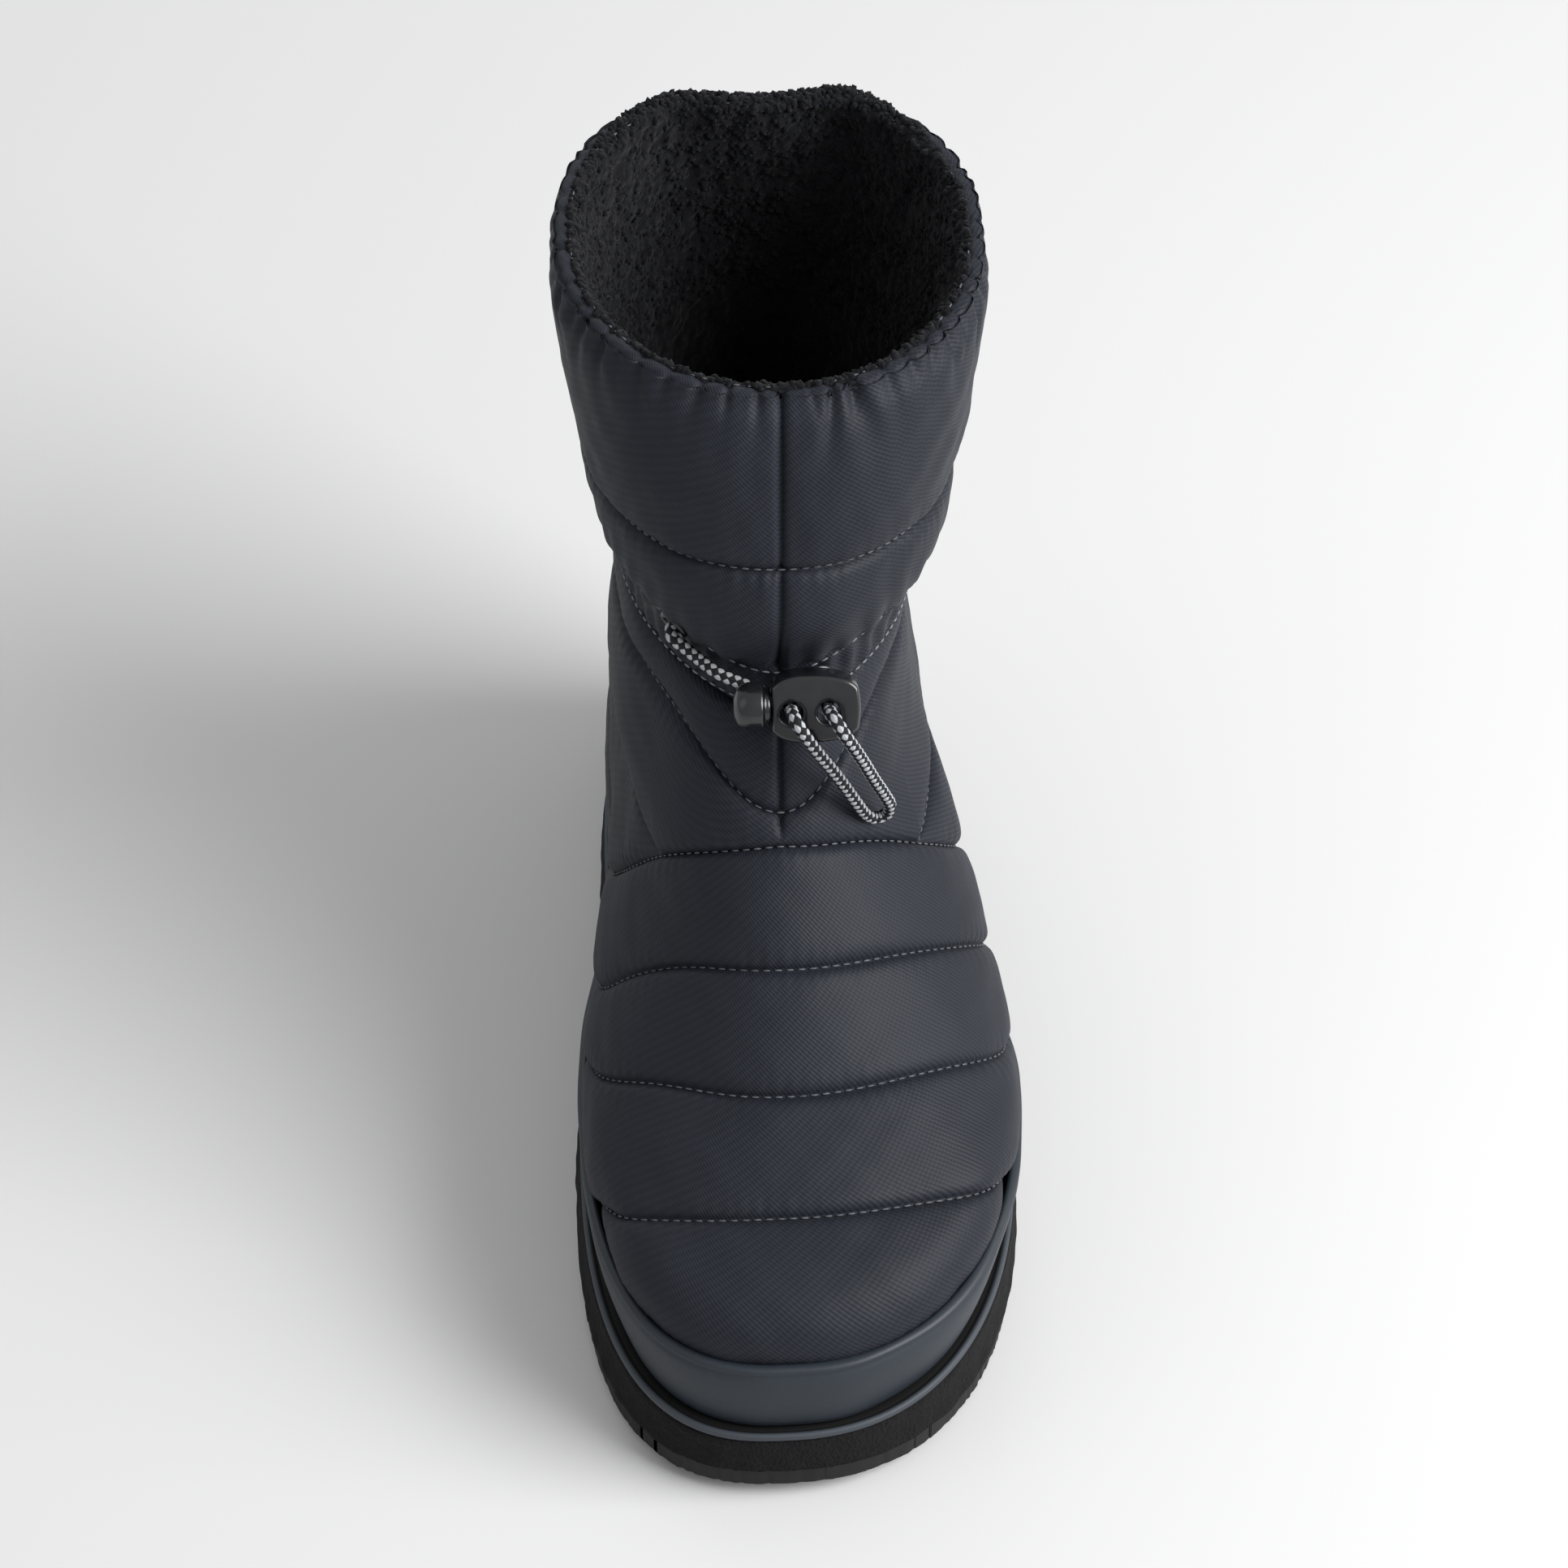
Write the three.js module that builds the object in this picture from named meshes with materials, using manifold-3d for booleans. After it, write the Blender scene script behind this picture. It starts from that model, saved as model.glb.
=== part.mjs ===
import * as THREE from 'three'
import { mergeVertices } from 'three/addons/utils/BufferGeometryUtils.js'
import Module from 'manifold-3d'

const wasm = await Module()
wasm.setup()

// Driving sizes of the left boot, in millimetres
const soleLength = 292
const ballWidth = 114
const heelWidth = 88
const instepHeight = 119
const collarHeight = 240
const collarWidth = 107
const wall = 7
const clearance = 0.3

// Sole stack
const treadHeight = 5
const grooveDepth = 3
const grooveWidth = 3.6
const groovePitch = 13.6
const grooveShort = 9.9
const grooveLongAcross = 13.3
const grooveLongAlong = 20.8
const grooveMargin = 6
const grooveUnder = 2
const foamTop = 20
const toeSpring = 5
const heelSpring = 1.6
const archRise = 1.2
const foamFlare = 1.2
const sideBevel = 1.5
const treadInset = 0.4
const treadDraft = 0.2
const treadChamfer = 1.2
const foamEdge = 0.4
const foamEdgeHeight = 2
const weltThickness = 2
const weltInset = 1.4
const weltDraft = 0.4
const insoleThickness = 4
const insoleGap = 0.6
const insoleBevel = 1

// Rand, the rubber band around the foot of the upper
const randThickness = 2.5
const randBulge = 0.6
const randLip = 1

// Quilting of the padded shell
const puff = 1.7
const crease = 1.5
const fullPuff = 20
const tunnelRise = 0.8
const cuffOverhang = 0.5
const rimRound = 1.4

// Drawcord and its hardware
const cordDiameter = 3.4
const cordSides = 8
const strandLeftSteps = 16
const strandRightSteps = 10
const loopSteps = 26
const lockHeight = 17
const lockBodyLength = 22
const lockEndHeight = 12
const lockDepth = 10
const lockStandOff = 6.2
const lockHoleSpacing = 9.1
const lockHoleDiameter = 5.5
const lockHoleDrop = 1
const holeSides = 12
const lockBevel = 0.6
const lockNose = 8
const lockShoulder = 2
const lockTail = 3
const lockTailCut = 1
const latheSides = 14
const buttonDiameter = 12
const buttonLength = 9
const buttonNeck = 1.6
const buttonChamfer = 0.3
const eyeletOuter = 7.2
const eyeletInner = 4.6
const eyeletThickness = 1.2
const eyeletOval = 1.2
const eyeletProud = 0.8

const featherZ = foamTop + clearance + weltThickness + clearance
const halfBall = ballWidth / 2
const halfHeel = heelWidth / 2
const halfCollar = collarWidth / 2

// Sections of the upper, from the feather line up to the collar.
// Rise is 0 at the feather line, 1 at the instep and 2 at the collar, at the front and at the back.
// Front and back places are shares of the sole's length, half widths shares of the half ball width
// and half heel width, which pass to the half collar width above the instep. The places of the
// widest point and of the heel are shares of the section's own length, and nose and tail are the
// powers of its round ends.
const sectionColumns = ['frontRise', 'backRise', 'front', 'back', 'lateral', 'medial', 'heel',
  'widestAt', 'heelAt', 'nose', 'tail']
const upperSections = {
  feather: [0, 0, 0.0253, 0.960, 0.955, 0.785, 0.80, 0.34, 0.64, 2.4, 2.9],
  randTop: [0.20, 0.222, 0.0295, 0.972, 1.045, 0.86, 0.885, 0.34, 0.63, 2.4, 2.9],
  toeSide: [0.315, 0.346, 0.052, 0.979, 1.03, 0.84, 0.918, 0.33, 0.62, 2.35, 2.8],
  toeTop: [0.41, 0.47, 0.129, 0.981, 0.97, 0.785, 0.911, 0.32, 0.60, 2.3, 2.7],
  vampLow: [0.564, 0.616, 0.220, 0.978, 0.87, 0.69, 0.886, 0.32, 0.59, 2.15, 2.5],
  vampHigh: [0.772, 0.772, 0.302, 0.970, 0.75, 0.61, 0.843, 0.35, 0.60, 2.05, 2.3],
  instep: [1, 0.927, 0.374, 0.960, 0.625, 0.685, 0.825, 0.43, 0.70, 2, 2],
  throat: [1.19, 1.107, 0.420, 0.946, 0.61, 0.685, 0.77, 0.46, 0.64, 2, 2],
  cinch: [1.322, 1.273, 0.4496, 0.929, 0.676, 0.68, 0.79, 0.48, 0.56, 2.1, 2.1],
  cuffLow: [1.488, 1.463, 0.4346, 0.920, 0.795, 0.795, 0.883, 0.48, 0.53, 2.1, 2.1],
  cuffMid: [1.711, 1.694, 0.450, 0.909, 0.90, 0.90, 0.958, 0.48, 0.52, 2.1, 2.25],
  collar: [2, 2, 0.483, 0.888, 1, 1, 1, 0.50, 0.50, 2.1, 2.4],
}
const soleSection = [0, 0, 0, 1, 1.095, 0.925, 1, 0.355, 0.66, 2.45, 2.9]

// Quilting lines, as places up the sections. A vamp line leaves the front centre at its front
// place and runs back and down to the rand, which it meets at its reach, a share of the way round
// to the back. A quarter line runs round the boot and dips at the front.
const vampLines = [
  { name: 'toe', front: 3, reachLateral: 0.26, reachMedial: 0.235 },
  { name: 'low', front: 4, reachLateral: 0.39, reachMedial: 0.345 },
  { name: 'high', front: 5, reachLateral: 0.50, reachMedial: 0.48 },
  { name: 'vampSeam', front: 6, reachLateral: 0.62, reachMedial: 0.58 },
]
const quarterLines = [
  { name: 'quarterLow', front: 3.1, back: 3.0 },
  { name: 'quarterMid', front: 5.15, back: 5.2 },
  { name: 'quarterHigh', front: 6.3, back: 6.97 },
  { name: 'tunnelBottom', front: 7.5, back: 8.15 },
]
const tunnelTop = { front: 8.1, back: 8.6 }
const cuffLine = { front: 9.67, back: 9.82 }
const dipWidth = 0.12
const randLine = 1.05
const lineStack = 0.04
const lastRow = 11

// Ring columns, as shares of the way from the front centre to the back centre
const seamColumn = 0.014
const halfColumns = 24

const clamp = (value, low, high) => Math.min(high, Math.max(low, value))
const smooth = (value) => clamp(value, 0, 1) ** 2 * (3 - 2 * clamp(value, 0, 1))

function sectionSizes(shares) {
  const row = Object.fromEntries(sectionColumns.map((name, k) => [name, shares[k]]))
  const heightAt = (rise) => (rise <= 1
    ? featherZ + rise * (instepHeight - featherZ)
    : instepHeight + (rise - 1) * (collarHeight - instepHeight))
  const shaft = clamp(row.frontRise - 1, 0, 1)
  const ballHalf = halfBall + (halfCollar - halfBall) * shaft
  const heelHalf = halfHeel + (halfCollar - halfHeel) * shaft
  return [heightAt(row.frontRise), heightAt(row.backRise), row.front * soleLength,
    row.back * soleLength, row.lateral * ballHalf, row.medial * ballHalf, row.heel * heelHalf,
    row.widestAt, row.heelAt, row.nose, row.tail]
}

const upperRows = Object.values(upperSections).map(sectionSizes)
const soleRow = sectionSizes(soleSection)

// Smooth section between the rows of the table
function sectionAt(place) {
  const last = upperRows.length - 1
  const at = clamp(place, 0, last - 1e-9)
  const i = Math.floor(at)
  const f = at - i
  const pick = (k) => upperRows[clamp(k, 0, last)]
  const [a, b, c, d] = [pick(i - 1), pick(i), pick(i + 1), pick(i + 2)]
  return b.map((value, k) => 0.5 * (2 * value + (c[k] - a[k]) * f
    + (2 * a[k] - 5 * value + 4 * c[k] - d[k]) * f * f
    + (3 * value - a[k] - 3 * c[k] + d[k]) * f ** 3))
}

// Inward swing of the toe
const swingStart = 0.46
const toeSwing = 5.5
const swingAt = (along) => -toeSwing * clamp(1 - along / (swingStart * soleLength), 0, 1) ** 2

// One side of a section, from the front centre to the back centre, with its running length
function sideOf(row, side) {
  const [frontZ, backZ, front, back, lateral, medial, heel, widestAt, heelAt, nose, tail] = row
  const half = side > 0 ? lateral : medial
  const steps = 36
  const shape = []
  for (let i = 0; i <= steps; i++) {
    const turn = (Math.PI / 2) * (i / steps)
    shape.push([widestAt * (1 - Math.cos(turn) ** (2 / nose)), half * Math.sin(turn) ** (2 / nose)])
  }
  for (let i = 1; i < steps; i++) {
    const q = i / steps
    shape.push([widestAt + (heelAt - widestAt) * q, half + (heel - half) * smooth(q)])
  }
  for (let i = 0; i <= steps; i++) {
    const turn = (Math.PI / 2) * (i / steps)
    const behind = (1 - heelAt) * (1 - Math.sin(turn) ** (2 / tail))
    shape.push([1 - behind, heel * Math.cos(turn) ** (2 / tail)])
  }
  const points = shape.map(([share, width]) => {
    const along = front + (back - front) * share
    const height = frontZ + (backZ - frontZ) * share
    return new THREE.Vector3(side * width + swingAt(along), along - soleLength / 2, height)
  })
  const lengths = [0]
  for (let i = 1; i < points.length; i++) {
    lengths.push(lengths[i - 1] + points[i].distanceTo(points[i - 1]))
  }
  return { points, lengths }
}

function alongSide({ points, lengths }, share) {
  const target = share * lengths.at(-1)
  let i = 1
  while (i < lengths.length - 1 && lengths[i] < target) i++
  const step = lengths[i] - lengths[i - 1]
  return points[i - 1].clone().lerp(points[i], clamp((target - lengths[i - 1]) / step, 0, 1))
}

// Point of the upper's base form. Round runs from 0 at the front, by the lateral side, to 1
const sideCache = new Map()
function basePoint(place, round) {
  const turn = round - Math.floor(round)
  const side = turn <= 0.5 ? 1 : -1
  const key = `${side}:${place.toFixed(5)}`
  if (!sideCache.has(key)) sideCache.set(key, sideOf(sectionAt(place), side))
  return alongSide(sideCache.get(key), side > 0 ? turn * 2 : (1 - turn) * 2)
}

// Outward direction of the base form, level at the feather line and at the collar
function baseNormal(place, round) {
  const above = basePoint(Math.min(place + 0.15, lastRow), round)
  const up = above.sub(basePoint(Math.max(place - 0.15, 0), round))
  const across = basePoint(place, round + 0.004).sub(basePoint(place, round - 0.004))
  const normal = across.cross(up)
  normal.z *= smooth(place / 1.2) * smooth((lastRow - place) / 1.2)
  return normal.normalize()
}

const surfacePoint = (place, round, out) => basePoint(place, round)
  .addScaledVector(baseNormal(place, round), out)

const sideShares = [0, seamColumn]
for (let i = 1; i <= halfColumns; i++) sideShares.push(seamColumn + (1 - seamColumn) * (i / halfColumns))
const ringRounds = [...sideShares.map((share) => share / 2),
  ...sideShares.slice(1, -1).reverse().map((share) => 1 - share / 2)]

// Closed skin through rings of equal length, either capped at both ends or joined end to end
function skin(rings, joined) {
  const count = rings[0].length
  const positions = rings.flat().flatMap((point) => [point.x, point.y, point.z])
  const faces = []
  const quad = (a, b, c, d) => faces.push(a, b, c, a, c, d)
  const bands = joined ? rings.length : rings.length - 1
  for (let k = 0; k < bands; k++) {
    const low = k * count
    const high = ((k + 1) % rings.length) * count
    for (let i = 0; i < count; i++) {
      const next = (i + 1) % count
      quad(low + i, low + next, high + next, high + i)
    }
  }
  if (!joined) {
    const top = (rings.length - 1) * count
    const pair = (i) => (count - i) % count
    for (let i = 0; i < count / 2; i++) {
      const [a, b, c, d] = [i, i + 1, pair(i + 1), pair(i)]
      if (i > 0) faces.push(a, d, b, top + a, top + b, top + d)
      if (b !== c) faces.push(b, d, c, top + b, top + c, top + d)
    }
  }
  const geometry = new THREE.BufferGeometry()
  geometry.setAttribute('position', new THREE.Float32BufferAttribute(positions, 3))
  geometry.setIndex(faces)
  return facingOut(geometry)
}

function facingOut(geometry) {
  const spots = geometry.getAttribute('position')
  const index = geometry.getIndex().array
  const corner = (i) => new THREE.Vector3().fromBufferAttribute(spots, index[i])
  let volume = 0
  for (let i = 0; i < index.length; i += 3) volume += corner(i).dot(corner(i + 1).cross(corner(i + 2)))
  if (volume < 0) {
    for (let i = 0; i < index.length; i += 3) [index[i + 1], index[i + 2]] = [index[i + 2], index[i + 1]]
  }
  geometry.computeVertexNormals()
  return geometry
}

function merged(geometry) {
  geometry.deleteAttribute('normal')
  geometry.deleteAttribute('uv')
  return mergeVertices(geometry, 1e-4)
}

// Height of a quilting line on each column, kept in order above the rand
function lineStackAt(share, side) {
  const stack = [randLine]
  for (const line of vampLines) {
    const reach = side > 0 ? line.reachLateral : line.reachMedial
    const height = line.front - (line.front - randLine) * (share / reach) ** 2
    stack.push(Math.max(height, stack.at(-1) + lineStack))
  }
  for (const line of quarterLines) stack.push(Math.max(dipped(line, share), stack.at(-1) + lineStack))
  return stack
}

const dipped = (line, share) => line.back
  + (line.front - line.back) * Math.exp(-((share / dipWidth) ** 2))

// Rows of one column of the shell between two lines: a padded swell
function swell(low, high, round, shares, edge) {
  const gap = basePoint(low, round).distanceTo(basePoint(high, round))
  const full = smooth(gap / fullPuff)
  return shares.map((share) => ({
    place: low + (high - low) * share,
    out: edge + (puff - edge) * full * Math.sin(Math.PI * share) ** 0.7,
  }))
}

function outerColumn(round) {
  const share = round <= 0.5 ? round * 2 : (1 - round) * 2
  const side = round <= 0.5 ? 1 : -1
  const stack = lineStackAt(share, side)
  const rows = [{ place: 0, out: 0 }, { place: 0.5, out: 0 }, { place: 1, out: 0 }]
  stack.forEach((place, k) => {
    rows.push({ place, out: -crease })
    if (k < stack.length - 1) rows.push(...swell(place, stack[k + 1], round, [0.28, 0.72], -crease))
  })
  const top = dipped(tunnelTop, share)
  const belt = cuffLine.front + (cuffLine.back - cuffLine.front) * share
  rows.push({ place: (stack.at(-1) + top) / 2, out: tunnelRise }, { place: top, out: -crease })
  rows.push({ place: top + lineStack, out: cuffOverhang })
  rows.push(...swell(top + lineStack, belt, round, [0.2, 0.5, 0.8], -crease / 2))
  rows.push({ place: belt, out: -crease })
  rows.push(...swell(belt, lastRow, round, [0.2, 0.5, 0.8], -crease / 2))
  rows.push({ place: lastRow, out: -rimRound })
  return rows
}

const innerPlaces = [10, 9, 8.2, 7.4, 6.4, 5.2, 4.1, 3, 1.5, 0]

// The padded upper: quilted shell outside, smooth lining face inside, open at the top and below
function upperGeometry() {
  const columns = ringRounds.map((round) => {
    const outer = outerColumn(round).map(({ place, out }) => surfacePoint(place, round, out))
    const rim = [surfacePoint(lastRow, round, rimRound - wall)]
    const inner = innerPlaces.map((place) => surfacePoint(place, round, -wall))
    return [...outer, ...rim, ...inner]
  })
  const rings = columns[0].map((_, k) => columns.map((column) => column[k]))
  return skin(rings, true)
}

const ringOnBase = (place, out) => ringRounds.map((round) => surfacePoint(place, round, out))

function randGeometry() {
  const inner = clearance
  const outer = clearance + randThickness
  return skin([ringOnBase(0, inner), ringOnBase(0, outer), ringOnBase(0.5, outer + randBulge),
    ringOnBase(0.85, outer + randBulge / 2), ringOnBase(0.97, outer - randLip), ringOnBase(1, inner),
    ringOnBase(0.5, inner)], true)
}

// Outline of the sole at a height, drawn in from the widest by an inset
function soleRing(height, inset) {
  const row = [...soleRow]
  row[2] += inset
  row[3] -= inset
  row[4] -= inset
  row[5] -= inset
  row[6] -= inset
  const sides = { 1: sideOf(row, 1), [-1]: sideOf(row, -1) }
  return ringRounds.map((round) => {
    const point = round <= 0.5 ? alongSide(sides[1], round * 2) : alongSide(sides[-1], (1 - round) * 2)
    point.z = typeof height === 'function' ? height(point.y + soleLength / 2) : height
    return point
  })
}

// Underside of the sole: flat under the ball and the heel, raised at toe, arch and heel tip
const springStart = 0.24 * soleLength
const heelSpringStart = 0.93 * soleLength
const archFrom = 0.45 * soleLength
const archTo = 0.70 * soleLength
function riseAt(along) {
  const toe = clamp(1 - along / springStart, 0, 1)
  const heel = clamp((along - heelSpringStart) / (soleLength - heelSpringStart), 0, 1)
  const arch = clamp((along - archFrom) / (archTo - archFrom), 0, 1)
  return toeSpring * toe ** 2 + heelSpring * heel ** 2 + archRise * Math.sin(Math.PI * arch) ** 2
}

function midsoleGeometry() {
  const bottom = (along) => riseAt(along) + treadHeight + clearance
  const middle = (along) => (bottom(along) + foamTop) / 2
  return skin([soleRing(bottom, foamEdge), soleRing((along) => bottom(along) + foamEdgeHeight, 0),
    soleRing(middle, foamFlare / 2), soleRing(foamTop - sideBevel, foamFlare),
    soleRing(foamTop, foamFlare + sideBevel / 2)], false)
}

function weltGeometry() {
  const bottom = foamTop + clearance
  const top = bottom + weltThickness
  const inner = (height) => ringOnBase(0, -wall)
    .map((point) => new THREE.Vector3(point.x, point.y, height))
  return skin([inner(bottom), soleRing(bottom, weltInset), soleRing(top, weltInset + weltDraft),
    inner(top)], true)
}

function insoleGeometry() {
  const bottom = foamTop + clearance
  const outline = (height, inset) => ringOnBase(0, -wall - inset)
    .map((point) => new THREE.Vector3(point.x, point.y, height))
  return skin([outline(bottom, insoleGap), outline(bottom + insoleThickness - insoleBevel, insoleGap),
    outline(bottom + insoleThickness, insoleGap + insoleBevel)], false)
}

function manifoldOf(geometry) {
  return new wasm.Manifold(new wasm.Mesh({
    numProp: 3,
    vertProperties: new Float32Array(geometry.getAttribute('position').array),
    triVerts: new Uint32Array(geometry.getIndex().array),
  }))
}

function geometryOf(manifold) {
  const mesh = manifold.getMesh()
  const geometry = new THREE.BufferGeometry()
  geometry.setAttribute('position', new THREE.BufferAttribute(new Float32Array(mesh.vertProperties), 3))
  geometry.setIndex(new THREE.BufferAttribute(new Uint32Array(mesh.triVerts), 1))
  geometry.computeVertexNormals()
  return geometry
}

// One tread groove: a zigzag ribbon that runs across the sole, a straight step and a long slant
// in turn, with its roof at the groove depth above the curved underside
function grooveGeometry(startAlong) {
  const floor = -grooveUnder
  const centres = []
  let across = halfBall + grooveMargin
  let along = startAlong
  for (let i = 0; across > -halfBall - grooveMargin; i++) {
    centres.push([across, along])
    if (i % 2) across -= grooveShort
    else {
      across -= grooveLongAcross
      along -= grooveLongAlong
    }
  }
  centres.push([across, along])
  const rings = centres.map(([x, d], i) => {
    const before = centres[Math.max(i - 1, 0)]
    const after = centres[Math.min(i + 1, centres.length - 1)]
    const way = new THREE.Vector2(after[0] - before[0], after[1] - before[1]).normalize()
    const side = new THREE.Vector2(-way.y, way.x).multiplyScalar(grooveWidth / 2)
    const corner = (sign, z) => new THREE.Vector3(x + sign * side.x, d + sign * side.y - soleLength / 2, z)
    const roof = riseAt(clamp(d, 0, soleLength)) + grooveDepth
    return [corner(-1, floor), corner(1, floor), corner(1, roof), corner(-1, roof)]
  })
  return skin(rings, false)
}

function outsoleGeometry() {
  const edge = treadInset + treadDraft
  const plate = skin([soleRing(riseAt, treadInset + treadChamfer),
    soleRing((along) => riseAt(along) + treadChamfer, edge),
    soleRing((along) => riseAt(along) + treadHeight, treadInset)], false)
  let solid = manifoldOf(plate)
  const slant = grooveLongAlong * Math.ceil(ballWidth / (grooveLongAcross + grooveShort))
  for (let along = groovePitch; along < soleLength + slant; along += groovePitch) {
    solid = solid.subtract(manifoldOf(grooveGeometry(along)))
  }
  return geometryOf(solid)
}

// Seat for a small part on the shell, with x across the boot, y up the shell and z outwards
function seatOn(place, round, out) {
  const outward = baseNormal(place, round)
  const across = new THREE.Vector3(1, 0, 0).addScaledVector(outward, -outward.x).normalize()
  const upward = outward.clone().cross(across)
  const matrix = new THREE.Matrix4().makeBasis(across, upward, outward)
  return matrix.setPosition(basePoint(place, round).addScaledVector(outward, out))
}

const lockPlace = 7.62
const lockAside = 6.7
const lockSeat = seatOn(lockPlace, 0, 0)
  .multiply(new THREE.Matrix4().makeTranslation(lockAside, 0, 0))

function circlePoints(diameter, count, x = 0, y = 0) {
  return Array.from({ length: count }, (_, i) => {
    const turn = (2 * Math.PI * i) / count
    return new THREE.Vector2(x + (diameter / 2) * Math.cos(turn), y + (diameter / 2) * Math.sin(turn))
  })
}

function lockBodyGeometry() {
  const left = -lockBodyLength * 0.42
  const right = lockBodyLength * 0.58
  const half = lockHeight / 2
  const end = lockEndHeight / 2
  const shape = new THREE.Shape()
  shape.moveTo(left, -half * 0.62)
  shape.quadraticCurveTo(left + lockShoulder, -half, left + lockNose, -half)
  shape.quadraticCurveTo(right - lockTail, -half, right - lockTailCut, -end + lockTailCut)
  shape.quadraticCurveTo(right, 0, right - lockTailCut, end - lockTailCut)
  shape.quadraticCurveTo(right - lockTail, half, left + lockNose, half)
  shape.quadraticCurveTo(left + lockShoulder, half, left, half * 0.62)
  for (const sign of [-1, 1]) {
    const hole = circlePoints(lockHoleDiameter, holeSides, (sign * lockHoleSpacing) / 2, -lockHoleDrop)
    shape.holes.push(new THREE.Path(hole))
  }
  const geometry = new THREE.ExtrudeGeometry(shape, { depth: lockDepth - 2 * lockBevel, curveSegments: 4,
    bevelThickness: lockBevel, bevelSize: lockBevel, bevelOffset: -lockBevel, bevelSegments: 1 })
  return merged(geometry.translate(0, 0, lockBevel + lockStandOff).applyMatrix4(lockSeat))
}

function lockButtonGeometry() {
  const radius = buttonDiameter / 2
  const start = lockBodyLength * 0.42 + clearance
  const profile = [[0, 0], [radius * 0.78, 0], [radius * 0.78, buttonNeck],
    [radius, buttonNeck + buttonChamfer],
    [radius, buttonLength * 0.62], [radius * 0.8, buttonLength * 0.88], [radius * 0.4, buttonLength],
    [0, buttonLength]].map(([x, y]) => new THREE.Vector2(x, y))
  const geometry = new THREE.LatheGeometry(profile, latheSides).rotateZ(Math.PI / 2)
  geometry.translate(-start, 0, lockStandOff + lockDepth / 2)
  return merged(geometry.applyMatrix4(lockSeat))
}

const eyelets = {
  left: { place: 8.4, round: 0.92 },
  right: { place: 7.82, round: 0.027 },
}

function eyeletGeometry({ place, round }) {
  const outer = eyeletOuter / 2
  const inner = eyeletInner / 2
  const shoulder = eyeletThickness * 0.6
  const profile = [[inner, 0], [outer, 0], [outer, shoulder], [(outer + inner) / 2, eyeletThickness],
    [inner, shoulder], [inner, 0]].map(([x, y]) => new THREE.Vector2(x, y))
  const ring = new THREE.LatheGeometry(profile, latheSides).rotateX(Math.PI / 2)
  ring.scale(eyeletOval, 1, 1)
  return merged(ring.applyMatrix4(seatOn(place, round, eyeletProud + clearance)))
}

function cordGeometry(points, steps) {
  const path = new THREE.CatmullRomCurve3(points)
  const section = new THREE.Shape(circlePoints(cordDiameter, cordSides))
  return merged(new THREE.ExtrudeGeometry(section, { steps, extrudePath: path }))
}

// Cord routes, in the frames of the seats that hold the cord: x across, y up the shell, z outwards.
// Each strand comes out of its eyelet, passes behind the lock and turns out through its hole.
const strandLeftFromEyelet = [[0, 0.2, -0.2], [0.4, 0.4, 2], [2.5, 0.6, 3.5], [5.5, -0.1, 3],
  [10.8, -1.2, 2.3]]
const strandLeftToLock = [[-21.5, 6, 1.5], [-16.4, 3.9, 2.6], [-11.2, 1.8, 3.3], [-7, 0.1, 4.2],
  [-4.9, -0.5, 6.1], [-4.6, -0.5, 11], [-4.6, -0.2, 15.8]]
const strandRightFromEyelet = [[0, 0, 0], [0, -0.2, 2], [1, -0.9, 3.4]]
const strandRightToLock = [[3.7, 0.4, 4.3], [4.5, -0.3, 6], [4.5, -0.5, 11], [4.5, -0.2, 15.8]]
// The loop leaves the lock's face by one hole, hangs to the lateral side of the instep and returns
const loopFromLock = [[-4.6, -0.1, 16.7], [-4.4, -0.4, 19.5], [-3.6, -2, 21.6], [-1.8, -5.1, 20.9],
  [1.2, -10.1, 17.2], [4.9, -15.8, 11.6], [8.7, -22.2, 5.1], [12, -28.2, -1],
  [14.5, -32.4, -6], [17.2, -34.3, -9.2], [19.9, -33.4, -9.3], [20.6, -30.5, -6],
  [18.7, -25.9, -0.4], [15.9, -20.5, 6], [12.9, -14.3, 12.8], [10, -8.8, 18.6],
  [7.6, -4.7, 21.8], [5.8, -1.4, 22.2], [4.7, -0.3, 19.7], [4.5, -0.1, 16.7]]
const inSeat = (points, seat) => points
  .map(([x, y, z]) => new THREE.Vector3(x, y, z).applyMatrix4(seat))
const eyeletSeat = ({ place, round }) => seatOn(place, round, eyeletProud)
const strandLeftRoute = [...inSeat(strandLeftFromEyelet, eyeletSeat(eyelets.left)),
  ...inSeat(strandLeftToLock, lockSeat)]
const strandRightRoute = [...inSeat(strandRightFromEyelet, eyeletSeat(eyelets.right)),
  ...inSeat(strandRightToLock, lockSeat)]
const loopRoute = inSeat(loopFromLock, lockSeat)

const fabricBlack = { color: 0x272a31, roughness: 0.72, metalness: 0 }
const fleeceBlack = { color: 0x131315, roughness: 0.95, metalness: 0 }
const rubberSlate = { color: 0x2f343c, roughness: 0.5, metalness: 0 }
const rubberTread = { color: 0x3a3c48, roughness: 0.7, metalness: 0 }
const foamBlack = { color: 0x1b1b1d, roughness: 0.9, metalness: 0 }
const plasticGloss = { color: 0x08080a, roughness: 0.25, metalness: 0 }
const cordGrey = { color: 0x34363c, roughness: 0.8, metalness: 0 }

const boot = new THREE.Group()
function add(name, geometry, finish) {
  const mesh = new THREE.Mesh(geometry, new THREE.MeshStandardMaterial(finish))
  mesh.name = name
  boot.add(mesh)
}

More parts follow.
